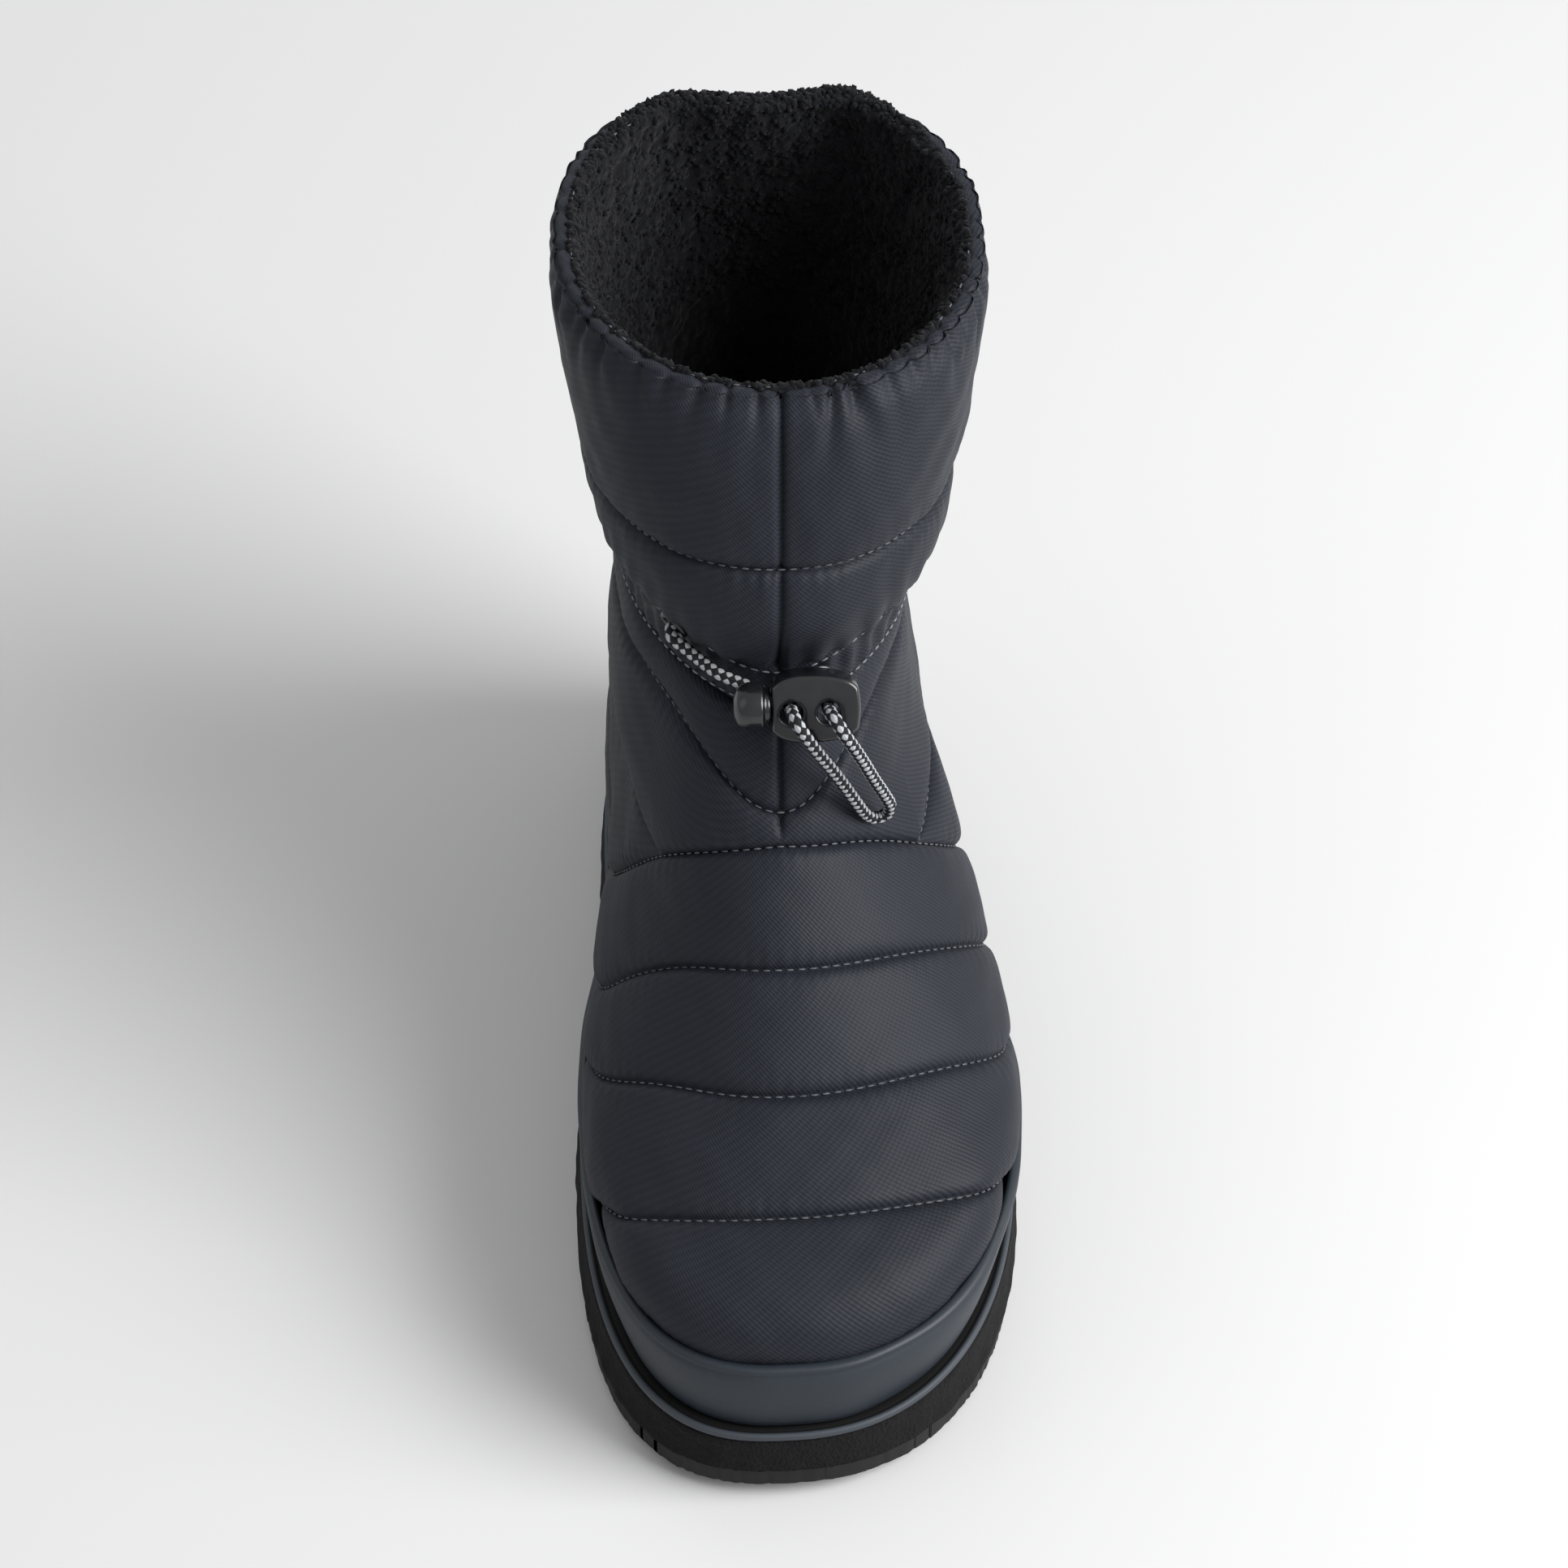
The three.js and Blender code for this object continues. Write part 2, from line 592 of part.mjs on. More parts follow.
add('outsole', outsoleGeometry(), rubberTread)
add('midsole', midsoleGeometry(), foamBlack)
add('welt', weltGeometry(), rubberSlate)
add('insole', insoleGeometry(), fleeceBlack)
add('rand', randGeometry(), rubberSlate)
add('upper', upperGeometry(), fabricBlack)
add('cord_lock_body', lockBodyGeometry(), plasticGloss)
add('cord_lock_button', lockButtonGeometry(), plasticGloss)
add('eyelet_left', eyeletGeometry(eyelets.left), plasticGloss)
add('eyelet_right', eyeletGeometry(eyelets.right), plasticGloss)
add('cord_strand_left', cordGeometry(strandLeftRoute, strandLeftSteps), cordGrey)
add('cord_strand_right', cordGeometry(strandRightRoute, strandRightSteps), cordGrey)
add('cord_loop', cordGeometry(loopRoute, loopSteps), cordGrey)

// Origin on the floor under the middle of the boot
const box = new THREE.Box3().setFromObject(boot)
boot.position.set(-(box.min.x + box.max.x) / 2, -(box.min.y + box.max.y) / 2, -box.min.z)

export default boot
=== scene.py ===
"""Thermal boot: a quilted winter boot with a fleece lining, a rubber rand and a drawcord."""
import math

import bmesh
import bpy
import numpy as np
from mathutils import Matrix, Vector
from mathutils.kdtree import KDTree


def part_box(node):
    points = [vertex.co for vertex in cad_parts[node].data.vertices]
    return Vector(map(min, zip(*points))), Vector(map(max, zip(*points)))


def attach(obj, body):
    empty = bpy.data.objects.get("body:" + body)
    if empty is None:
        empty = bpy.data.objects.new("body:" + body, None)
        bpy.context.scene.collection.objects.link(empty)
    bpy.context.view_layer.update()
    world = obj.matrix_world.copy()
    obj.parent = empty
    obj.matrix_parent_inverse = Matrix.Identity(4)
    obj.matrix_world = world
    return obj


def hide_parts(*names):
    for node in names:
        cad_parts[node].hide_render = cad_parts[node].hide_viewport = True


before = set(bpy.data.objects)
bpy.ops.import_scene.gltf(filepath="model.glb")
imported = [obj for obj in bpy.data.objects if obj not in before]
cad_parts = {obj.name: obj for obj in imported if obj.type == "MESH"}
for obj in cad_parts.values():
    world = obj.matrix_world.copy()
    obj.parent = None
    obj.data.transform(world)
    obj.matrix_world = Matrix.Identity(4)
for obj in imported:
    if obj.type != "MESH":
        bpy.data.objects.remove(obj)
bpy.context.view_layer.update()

MM = 0.001

# Driving sizes in millimetres, the same as the solids have
SOLE_LENGTH = 292.0
BALL_WIDTH = 114.0
HEEL_WIDTH = 88.0
INSTEP_HEIGHT = 119.0
COLLAR_HEIGHT = 240.0
COLLAR_WIDTH = 107.0
WALL = 7.0
CLEARANCE = 0.3
TREAD_HEIGHT = 5.0
GROOVE_DEPTH = 3.0
GROOVE_WIDTH = 3.6
GROOVE_PITCH = 13.6
GROOVE_SHORT = 9.9
GROOVE_ACROSS = 13.3
GROOVE_ALONG = 20.8
GROOVE_MARGIN = 6.0
FOAM_TOP = 20.0
TOE_SPRING = 5.0
HEEL_SPRING = 1.6
ARCH_RISE = 1.2
FOAM_FLARE = 1.2
SIDE_BEVEL = 1.5
TREAD_INSET = 0.4
WELT_THICKNESS = 2.0
WELT_INSET = 1.4
INSOLE_THICKNESS = 4.0
INSOLE_GAP = 0.6
RAND_THICKNESS = 2.5
RAND_BULGE = 0.6
CORD_DIAMETER = 3.4
LOCK_HEIGHT = 17.0
LOCK_LENGTH = 22.0
LOCK_END = 12.0
LOCK_DEPTH = 10.0
LOCK_STAND_OFF = 6.2
LOCK_HOLE_SPACING = 9.1
LOCK_HOLE = 5.5
LOCK_HOLE_DROP = 1.0
LOCK_NOSE = 8.0
LOCK_SHOULDER = 2.0
LOCK_TAIL = 3.0
LOCK_TAIL_CUT = 1.0
BUTTON_DIAMETER = 12.0
BUTTON_LENGTH = 9.0
BUTTON_NECK = 1.6
EYELET_OUTER = 7.2
EYELET_INNER = 4.6
EYELET_THICKNESS = 1.2
EYELET_OVAL = 1.2
EYELET_PROUD = 0.8

FEATHER = FOAM_TOP + CLEARANCE + WELT_THICKNESS + CLEARANCE
HALF_BALL = BALL_WIDTH / 2
HALF_HEEL = HEEL_WIDTH / 2
HALF_COLLAR = COLLAR_WIDTH / 2

# Sections of the upper from the feather line to the collar, and the sole's outline
UPPER_SECTIONS = np.array([
    [0, 0, 0.0253, 0.960, 0.955, 0.785, 0.80, 0.34, 0.64, 2.4, 2.9],
    [0.20, 0.222, 0.0295, 0.972, 1.045, 0.86, 0.885, 0.34, 0.63, 2.4, 2.9],
    [0.315, 0.346, 0.052, 0.979, 1.03, 0.84, 0.918, 0.33, 0.62, 2.35, 2.8],
    [0.41, 0.47, 0.129, 0.981, 0.97, 0.785, 0.911, 0.32, 0.60, 2.3, 2.7],
    [0.564, 0.616, 0.220, 0.978, 0.87, 0.69, 0.886, 0.32, 0.59, 2.15, 2.5],
    [0.772, 0.772, 0.302, 0.970, 0.75, 0.61, 0.843, 0.35, 0.60, 2.05, 2.3],
    [1, 0.927, 0.374, 0.960, 0.625, 0.685, 0.825, 0.43, 0.70, 2, 2],
    [1.19, 1.107, 0.420, 0.946, 0.61, 0.685, 0.77, 0.46, 0.64, 2, 2],
    [1.322, 1.273, 0.4496, 0.929, 0.676, 0.68, 0.79, 0.48, 0.56, 2.1, 2.1],
    [1.488, 1.463, 0.4346, 0.920, 0.795, 0.795, 0.883, 0.48, 0.53, 2.1, 2.1],
    [1.711, 1.694, 0.450, 0.909, 0.90, 0.90, 0.958, 0.48, 0.52, 2.1, 2.25],
    [2, 2, 0.483, 0.888, 1, 1, 1, 0.50, 0.50, 2.1, 2.4],
])
SOLE_SECTION = np.array([0, 0, 0, 1, 1.095, 0.925, 1, 0.355, 0.66, 2.45, 2.9])
LAST = len(UPPER_SECTIONS) - 1
SWING_START = 0.46
TOE_SWING = 5.5


def smooth(value):
    """Ease from 0 to 1."""
    value = np.clip(value, 0, 1)
    return value * value * (3 - 2 * value)


def section_sizes(row):
    """Sizes in millimetres of one row of shares."""
    def height(rise):
        if rise <= 1:
            return FEATHER + rise * (INSTEP_HEIGHT - FEATHER)
        return INSTEP_HEIGHT + (rise - 1) * (COLLAR_HEIGHT - INSTEP_HEIGHT)
    shaft = min(max(row[0] - 1, 0), 1)
    ball = HALF_BALL + (HALF_COLLAR - HALF_BALL) * shaft
    heel = HALF_HEEL + (HALF_COLLAR - HALF_HEEL) * shaft
    return np.array([height(row[0]), height(row[1]), row[2] * SOLE_LENGTH, row[3] * SOLE_LENGTH,
                     row[4] * ball, row[5] * ball, row[6] * heel, *row[7:]])


UPPER_ROWS = np.array([section_sizes(row) for row in UPPER_SECTIONS])
SOLE_ROW = section_sizes(SOLE_SECTION)


def section_at(place):
    """Smooth section between the rows of the table."""
    at = min(max(place, 0), LAST - 1e-9)
    i = int(at)
    f = at - i
    a, b, c, d = (UPPER_ROWS[min(max(i + k, 0), LAST)] for k in (-1, 0, 1, 2))
    return 0.5 * (2 * b + (c - a) * f + (2 * a - 5 * b + 4 * c - d) * f ** 2
                  + (3 * b - a - 3 * c + d) * f ** 3)


def side_of(row, side):
    """One side of a section from the front centre to the back centre, with its running length."""
    front_z, back_z, front, back, lateral, medial, heel, widest_at, heel_at, nose, tail = row
    half = lateral if side > 0 else medial
    turn = np.linspace(0, math.pi / 2, 37)
    q = np.linspace(0, 1, 37)[1:-1]
    cos = np.maximum(np.cos(turn), 0)
    share = np.concatenate([
        widest_at * (1 - cos ** (2 / nose)),
        widest_at + (heel_at - widest_at) * q,
        1 - (1 - heel_at) * (1 - np.sin(turn) ** (2 / tail))])
    width = np.concatenate([
        half * np.sin(turn) ** (2 / nose),
        half + (heel - half) * smooth(q),
        heel * cos ** (2 / tail)])
    along = front + (back - front) * share
    swing = -TOE_SWING * np.clip(1 - along / (SWING_START * SOLE_LENGTH), 0, 1) ** 2
    points = np.stack([side * width + swing, along - SOLE_LENGTH / 2,
                       front_z + (back_z - front_z) * share], -1)
    steps = np.linalg.norm(np.diff(points, axis=0), axis=1)
    return points, np.concatenate([[0], np.cumsum(steps)])


def along_side(side, shares):
    """Points at shares of a side's running length."""
    points, lengths = side
    target = np.asarray(shares) * lengths[-1]
    return np.stack([np.interp(target, lengths, points[:, k]) for k in range(3)], -1)


def ring_of(row, rounds):
    """Ring of a section. Round runs from 0 at the front, by the lateral side, to 1."""
    turn = rounds - np.floor(rounds)
    lateral = along_side(side_of(row, 1), np.clip(turn * 2, 0, 1))
    medial = along_side(side_of(row, -1), np.clip((1 - turn) * 2, 0, 1))
    return np.where((turn <= 0.5)[:, None], lateral, medial)


def sole_ring(height, inset, rounds):
    """Outline of the sole at a height, drawn in from the widest by an inset."""
    row = SOLE_ROW + inset * np.array([0, 0, 1, -1, -1, -1, -1, 0, 0, 0, 0])
    ring = ring_of(row, rounds)
    ring[:, 2] = height(ring[:, 1] + SOLE_LENGTH / 2) if callable(height) else height
    return ring


def rise_at(along):
    """Underside of the sole: flat under the ball and heel, raised at toe, arch and heel tip."""
    toe = np.clip(1 - along / (0.24 * SOLE_LENGTH), 0, 1)
    heel = np.clip((along / SOLE_LENGTH - 0.93) / 0.07, 0, 1)
    arch = np.clip((along / SOLE_LENGTH - 0.45) / 0.25, 0, 1)
    return TOE_SPRING * toe ** 2 + HEEL_SPRING * heel ** 2 + ARCH_RISE * np.sin(math.pi * arch) ** 2


PLACE_STEPS = 440
ROUND_STEPS = 1500
PLACES = np.linspace(0, LAST, PLACE_STEPS + 1)
ROUNDS = np.linspace(0, 1, ROUND_STEPS + 1)
COLLAR_DIP = 4.0
DIP_START = 9.4
DIP_REACH = 0.3


def base_form():
    """Table of the upper's base form, whose collar dips a little at the front."""
    form = np.array([ring_of(section_at(place), ROUNDS) for place in PLACES])
    from_front = 1 - np.abs(1 - 2 * ROUNDS)
    climb = smooth((PLACES - DIP_START) / (LAST - DIP_START))[:, None]
    form[..., 2] -= COLLAR_DIP * climb * np.exp(-(from_front / DIP_REACH) ** 2)
    return form


BASE = base_form()


def base_normals():
    """Outward directions, level at the feather line and at the collar."""
    reach = 6
    index = np.arange(PLACE_STEPS + 1)
    up = BASE[np.minimum(index + reach, PLACE_STEPS)] - BASE[np.maximum(index - reach, 0)]
    loop = BASE[:, :-1]
    across = np.roll(loop, -reach, 1) - np.roll(loop, reach, 1)
    across = np.concatenate([across, across[:, :1]], 1)
    normal = np.cross(across, up)
    fade = smooth(PLACES / 1.2) * smooth((LAST - PLACES) / 1.2)
    normal[..., 2] *= fade[:, None]
    return normal / np.linalg.norm(normal, axis=-1, keepdims=True)


NORMALS = base_normals()
LEVEL_STEP = np.linalg.norm(np.diff(BASE, axis=0), axis=-1)
RISEN = np.concatenate([np.zeros((1, ROUND_STEPS + 1)), np.cumsum(LEVEL_STEP, 0)])
ROUND_STEP = np.linalg.norm(np.diff(BASE, axis=1), axis=-1)
GONE_ROUND = np.concatenate([np.zeros((PLACE_STEPS + 1, 1)), np.cumsum(ROUND_STEP, 1)], 1)


def all_round(value, rounds):
    """One place or distance at each round."""
    return np.full(rounds.shape, float(value))


def look_up(table, place, round_at):
    """Value of a table at places and rounds, between its entries."""
    p = np.clip(np.asarray(place, float) / LAST, 0, 1) * PLACE_STEPS
    turn = np.asarray(round_at, float)
    r = (turn - np.floor(turn)) * ROUND_STEPS
    i = np.minimum(p.astype(int), PLACE_STEPS - 1)
    j = np.minimum(r.astype(int), ROUND_STEPS - 1)
    f, g = p - i, r - j
    if table.ndim == 3:
        f, g = f[..., None], g[..., None]
    low = table[i, j] * (1 - g) + table[i, j + 1] * g
    high = table[i + 1, j] * (1 - g) + table[i + 1, j + 1] * g
    return low * (1 - f) + high * f


def base_point(place, round_at):
    """Point of the upper's base form."""
    return look_up(BASE, place, round_at)


def base_normal(place, round_at):
    """Outward direction of the base form."""
    normal = look_up(NORMALS, place, round_at)
    return normal / np.linalg.norm(normal, axis=-1, keepdims=True)


def surface(place, round_at, out):
    """Point at a distance outside the base form."""
    return base_point(place, round_at) + base_normal(place, round_at) * np.asarray(out)[..., None]


def place_at_rise(risen, rounds):
    """Places whose running length up each column is the given one. risen is rows by columns."""
    columns = np.round((rounds - np.floor(rounds)) * ROUND_STEPS).astype(int)
    return np.stack([np.interp(risen[:, k], RISEN[:, column], PLACES)
                     for k, column in enumerate(columns)], 1)


def snapped_rounds(count, low=0.0, high=1.0, gather=0.0):
    """Rounds that fall on the table's own columns, drawn together at the front by gather."""
    even = np.linspace(low, high, count + 1)
    eased = even - gather * np.sin(2 * math.pi * even) / (2 * math.pi)
    return np.round(eased * ROUND_STEPS) / ROUND_STEPS


sole_low, sole_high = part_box("midsole")
centre_x = (sole_low.x + sole_high.x) / 2 / MM
own_ring = sole_ring(0, 0, ROUNDS)
SHIFT = np.array([centre_x - (own_ring[:, 0].min() + own_ring[:, 0].max()) / 2, 0, 0])


NOISE_WAVES = 14


def soft_noise(points, wavelength, seed):
    """Smooth noise of about unit height, the same on each run, from waves in seeded directions."""
    rng = np.random.default_rng(seed)
    total = np.zeros(points.shape[:-1])
    for _ in range(NOISE_WAVES):
        way = rng.normal(size=3)
        way /= np.linalg.norm(way)
        turn = 2 * math.pi / (wavelength * rng.uniform(0.75, 1.5))
        total += np.sin(points @ way * turn + rng.uniform(0, 2 * math.pi))
    return total / math.sqrt(NOISE_WAVES / 2)


def hashed(cells, seed):
    """Three steady values between 0 and 1 for each cell of a lattice."""
    mixed = cells @ np.array([[127.1, 269.5, 113.5], [311.7, 183.3, 271.9], [74.7, 246.1, 124.6]])
    return np.mod(np.sin(mixed + seed) * 43758.5453, 1)


def clumps(points, size, seed):
    """Rounded clumps, 0 between them and 1 on their tops, each about a size wide."""
    scaled = points / size
    cell = np.floor(scaled)
    nearest = np.full(points.shape[:-1], 9.0)
    for step in np.ndindex(3, 3, 3):
        spot = cell + (np.array(step) - 1)
        gap = np.linalg.norm(spot + hashed(spot, seed) - scaled, axis=-1)
        nearest = np.minimum(nearest, gap)
    return 1 - np.clip(nearest, 0, 1) ** 2


def placed(name, data):
    """Object in the scene."""
    thing = bpy.data.objects.new(name, data)
    bpy.context.scene.collection.objects.link(thing)
    return thing


def smoothed(mesh, sharp=None):
    """Piece of a finished mesh, shaded smooth, with edges past the sharp angle left sharp."""
    mesh.shade_smooth()
    if sharp:
        mesh.set_sharp_from_angle(angle=math.radians(sharp))
    return placed(mesh.name, mesh)


def built(build, name):
    """Mesh of what was built in bmesh."""
    mesh = bpy.data.meshes.new(name)
    build.to_mesh(mesh)
    build.free()
    return mesh


def weld(mesh, gap, outwards=False):
    """Joins the points of a mesh that lie within a gap, and turns its faces outwards if asked."""
    build = bmesh.new()
    build.from_mesh(mesh)
    bmesh.ops.remove_doubles(build, verts=build.verts, dist=gap)
    bmesh.ops.dissolve_degenerate(build, edges=build.edges, dist=1e-7)
    if outwards:
        bmesh.ops.recalc_face_normals(build, faces=build.faces)
    build.to_mesh(mesh)
    build.free()


def to_metres(points):
    """Points of the boot's own frame in the shared frame."""
    return (points + SHIFT) * MM


def add_uv(mesh, uv):
    """Gives a mesh its cloth coordinates, one pair for each face corner."""
    layer = mesh.uv_layers.new(name="cloth")
    layer.data.foreach_set("uv", np.asarray(uv, np.float32).ravel())


def mesh_piece(name, points, faces, uv=None, merge=0.0):
    """Piece from points in millimetres of the boot's own frame, with uv for each face corner."""
    mesh = bpy.data.meshes.new(name)
    mesh.from_pydata(to_metres(points).tolist(), [], faces)
    if uv is not None:
        add_uv(mesh, uv)
    mesh.update()
    if merge:
        weld(mesh, merge * MM)
    return smoothed(mesh)


def grid_faces(rows, columns, close_rows, close_columns):
    """Quads of a grid of points, row by row, as indices and as their row and column corners."""
    i = np.arange(rows if close_rows else rows - 1)
    j = np.arange(columns if close_columns else columns - 1)
    i, j = (part.ravel() for part in np.meshgrid(i, j, indexing="ij"))
    corners_i = np.stack([i, i, i + 1, i + 1], -1)
    corners_j = np.stack([j, j + 1, j + 1, j], -1)
    index = (corners_i % rows) * columns + corners_j % columns
    return index, corners_i, corners_j


def volume_of(points, faces):
    """Signed volume that tells which way the faces look."""
    a, b, c, d = (points[faces[:, k]] for k in range(4))
    return np.einsum("ij,ij->", a, np.cross(b, c)) + np.einsum("ij,ij->", a, np.cross(c, d))


def wrapped(uv, around):
    """Cloth coordinates with the first row and column again past the last ones."""
    wide = np.concatenate([uv, uv[:1]], 0)
    if around:
        girth = 2 * uv[:, -1:, 0] - uv[:, -2:-1, 0]
        last = np.stack([girth, uv[:, :1, 1]], -1)
        wide = np.concatenate([wide, np.concatenate([last, last[:1]], 0)], 1)
    return wide


def closed_grid(name, grid, around=True, uv=None, merge=0.0):
    """Piece from rows of points, the last joined to the first. Sideways it is joined too, or capped."""
    rows, columns = grid.shape[:2]
    points = grid.reshape(-1, 3)
    faces, corner_i, corner_j = grid_faces(rows, columns, True, around)
    flip = volume_of(points, faces) < 0
    way = -1 if flip else 1
    faces = faces[:, ::way].tolist()
    if uv is not None:
        uv = wrapped(uv, around)[corner_i, corner_j][:, ::way].reshape(-1, 2)
    if not around:
        first = [i * columns for i in range(rows)][::way]
        last = [i * columns + columns - 1 for i in range(rows)][::-way]
        faces += [first, last]
        uv = np.concatenate([uv, points[first + last][:, [0, 2]]])
    return mesh_piece(name, points, faces, uv, merge)


def run_uv(grid, run):
    """Cloth coordinates of rows of points: the run of each column, and the way from the first row."""
    uv = np.zeros((*grid.shape[:2], 2))
    uv[..., 0] = run
    uv[1:, :, 1] = np.cumsum(np.linalg.norm(np.diff(grid, axis=0), axis=-1), 0)
    return uv


class Value:
    """A node socket in a tree, on which sums and products add Math nodes."""

    def __init__(self, tree, socket):
        self.tree = tree
        self.socket = socket

    def math(self, operation, *others):
        return self.tree.node("ShaderNodeMath", {"operation": operation}, self, *others)[0]

    def __add__(self, other):
        return self.math("ADD", other)

    __radd__ = __add__

    def __sub__(self, other):
        return self.math("SUBTRACT", other)

    def __rsub__(self, other):
        return self.tree.node("ShaderNodeMath", {"operation": "SUBTRACT"}, other, self)[0]

    def __mul__(self, other):
        return self.math("MULTIPLY", other)

    __rmul__ = __mul__

    def __truediv__(self, other):
        return self.math("DIVIDE", other)

    def __rtruediv__(self, other):
        return self.tree.node("ShaderNodeMath", {"operation": "DIVIDE"}, other, self)[0]

    def sin(self):
        return self.math("SINE")

    def clamp(self):
        return self.tree.node("ShaderNodeClamp", {}, self, 0.0, 1.0)[0]


class Tree:
    """A node tree. node takes a type, its settings, and the values or links of its sockets."""

    def __init__(self, nodes):
        self.tree = nodes

    def node(self, kind, settings, *inputs, **named):
        made = self.tree.nodes.new(kind)
        for name, value in settings.items():
            setattr(made, name, value)
        for where, value in [*enumerate(inputs), *named.items()]:
            if value is None:
                continue
            if isinstance(where, int):
                socket = [s for s in made.inputs if s.enabled][where]
            else:
                socket = next(s for s in made.inputs if s.enabled
                              and s.name.replace(" ", "_").lower() == where.lower())
            if isinstance(value, Value):
                self.tree.links.new(value.socket, socket)
            else:
                socket.default_value = value
        return [Value(self, s) for s in made.outputs if s.enabled]


class Recipe(Tree):
    """A Geometry Nodes tree with named inputs, which ends in joined and dressed instances."""

    def __init__(self, name, **kinds):
        self.group = bpy.data.node_groups.new(name, "GeometryNodeTree")
        super().__init__(self.group)
        sockets = self.group.interface
        sockets.new_socket(name="Geometry", in_out="INPUT", socket_type="NodeSocketGeometry")
        for label, kind in kinds.items():
            sockets.new_socket(name=label, in_out="INPUT", socket_type="NodeSocket" + kind)
        sockets.new_socket(name="Geometry", in_out="OUTPUT", socket_type="NodeSocketGeometry")
        start = self.node("NodeGroupInput", {})
        self.given = dict(zip(["Geometry", *kinds], start))

    def close(self, points, turn, scale):
        """Lays the given unit on points, joins the copies and dresses them."""
        unit = self.node("GeometryNodeObjectInfo", {}, self.given["Unit"])[-1]
        laid = self.node("GeometryNodeInstanceOnPoints", {}, Points=points, Instance=unit,
                         Rotation=turn, Scale=scale)[0]
        joined = self.node("GeometryNodeRealizeInstances", {}, laid)[0]
        dressed = self.node("GeometryNodeSetMaterial", {}, Geometry=joined,
                            Material=self.given["Finish"])[0]
        end = self.tree.nodes.new("NodeGroupOutput")
        self.tree.links.new(dressed.socket, end.inputs[0])

    def run(self, name, points, edges, faces, **values):
        """Piece that the tree makes on a mesh of points in millimetres."""
        mesh = bpy.data.meshes.new(name + "_holder")
        mesh.from_pydata(to_metres(points).tolist(), edges, faces)
        holder = placed(mesh.name, mesh)
        modifier = holder.modifiers.new("lay", "NODES")
        modifier.node_group = self.group
        for item in self.group.interface.items_tree:
            if item.in_out == "INPUT" and item.name in values:
                modifier[item.identifier] = values[item.name]
        bpy.context.view_layer.update()
        seen = holder.evaluated_get(bpy.context.evaluated_depsgraph_get())
        laid = bpy.data.meshes.new_from_object(seen)
        laid.name = name
        holder.modifiers.remove(modifier)
        bpy.data.objects.remove(holder)
        return smoothed(laid)


def unit(build, name, long, thick):
    """Object of a unit ball, drawn out along its own z axis, for a recipe to lay."""
    for vert in build.verts:
        vert.co = Vector((vert.co.x * thick, vert.co.y * thick, vert.co.z * long)) * MM
    return bpy.data.objects.new(name, built(build, name))


def stitch_unit():
    """One stitch, a small spindle of thread."""
    build = bmesh.new()
    bmesh.ops.create_uvsphere(build, u_segments=6, v_segments=4, radius=1.0)
    return unit(build, "stitch", 1.0, 0.28)


def curl_unit():
    """One curl of fleece, a lumpy ball."""
    build = bmesh.new()
    bmesh.ops.create_icosphere(build, subdivisions=1, radius=1.0)
    rng = np.random.default_rng(7)
    for vert in build.verts:
        vert.co *= 1 + 0.22 * rng.uniform(-1, 1)
    return unit(build, "curl", 1.3, 0.75)


def stitch_recipe():
    """One stitch every step along each run of edges."""
    recipe = Recipe("stitches", Step="Float", Unit="Object", Finish="Material")
    curve = recipe.node("GeometryNodeMeshToCurve", {}, recipe.given["Geometry"])[0]
    laid = recipe.node("GeometryNodeCurveToPoints", {"mode": "LENGTH"}, Curve=curve,
                       Length=recipe.given["Step"])
    recipe.close(laid[0], laid[3], (1.0, 1.0, 1.0))
    return recipe


def tuft_recipe():
    """Curls scattered over faces, turned and sized at random by a seed."""
    recipe = Recipe("tufts", Density="Float", Seed="Int", Unit="Object", Finish="Material")
    seed = recipe.given["Seed"]
    spread = recipe.node("GeometryNodeDistributePointsOnFaces", {}, Mesh=recipe.given["Geometry"],
                         Density=recipe.given["Density"], Seed=seed)
    turn = recipe.node("FunctionNodeRandomValue", {"data_type": "FLOAT_VECTOR"}, (0, 0, 0),
                       (6.28, 6.28, 6.28), Seed=seed)[0]
    size = recipe.node("FunctionNodeRandomValue", {"data_type": "FLOAT"}, 0.55, 1.35, Seed=seed)[0]
    recipe.close(spread[0], turn, size)
    return recipe


def rgb(code):
    """Linear colour of a hex code."""
    parts = [int(code[k:k + 2], 16) / 255 for k in (0, 2, 4)]
    return tuple(p / 12.92 if p <= 0.04045 else ((p + 0.055) / 1.055) ** 2.4 for p in parts) + (1.0,)


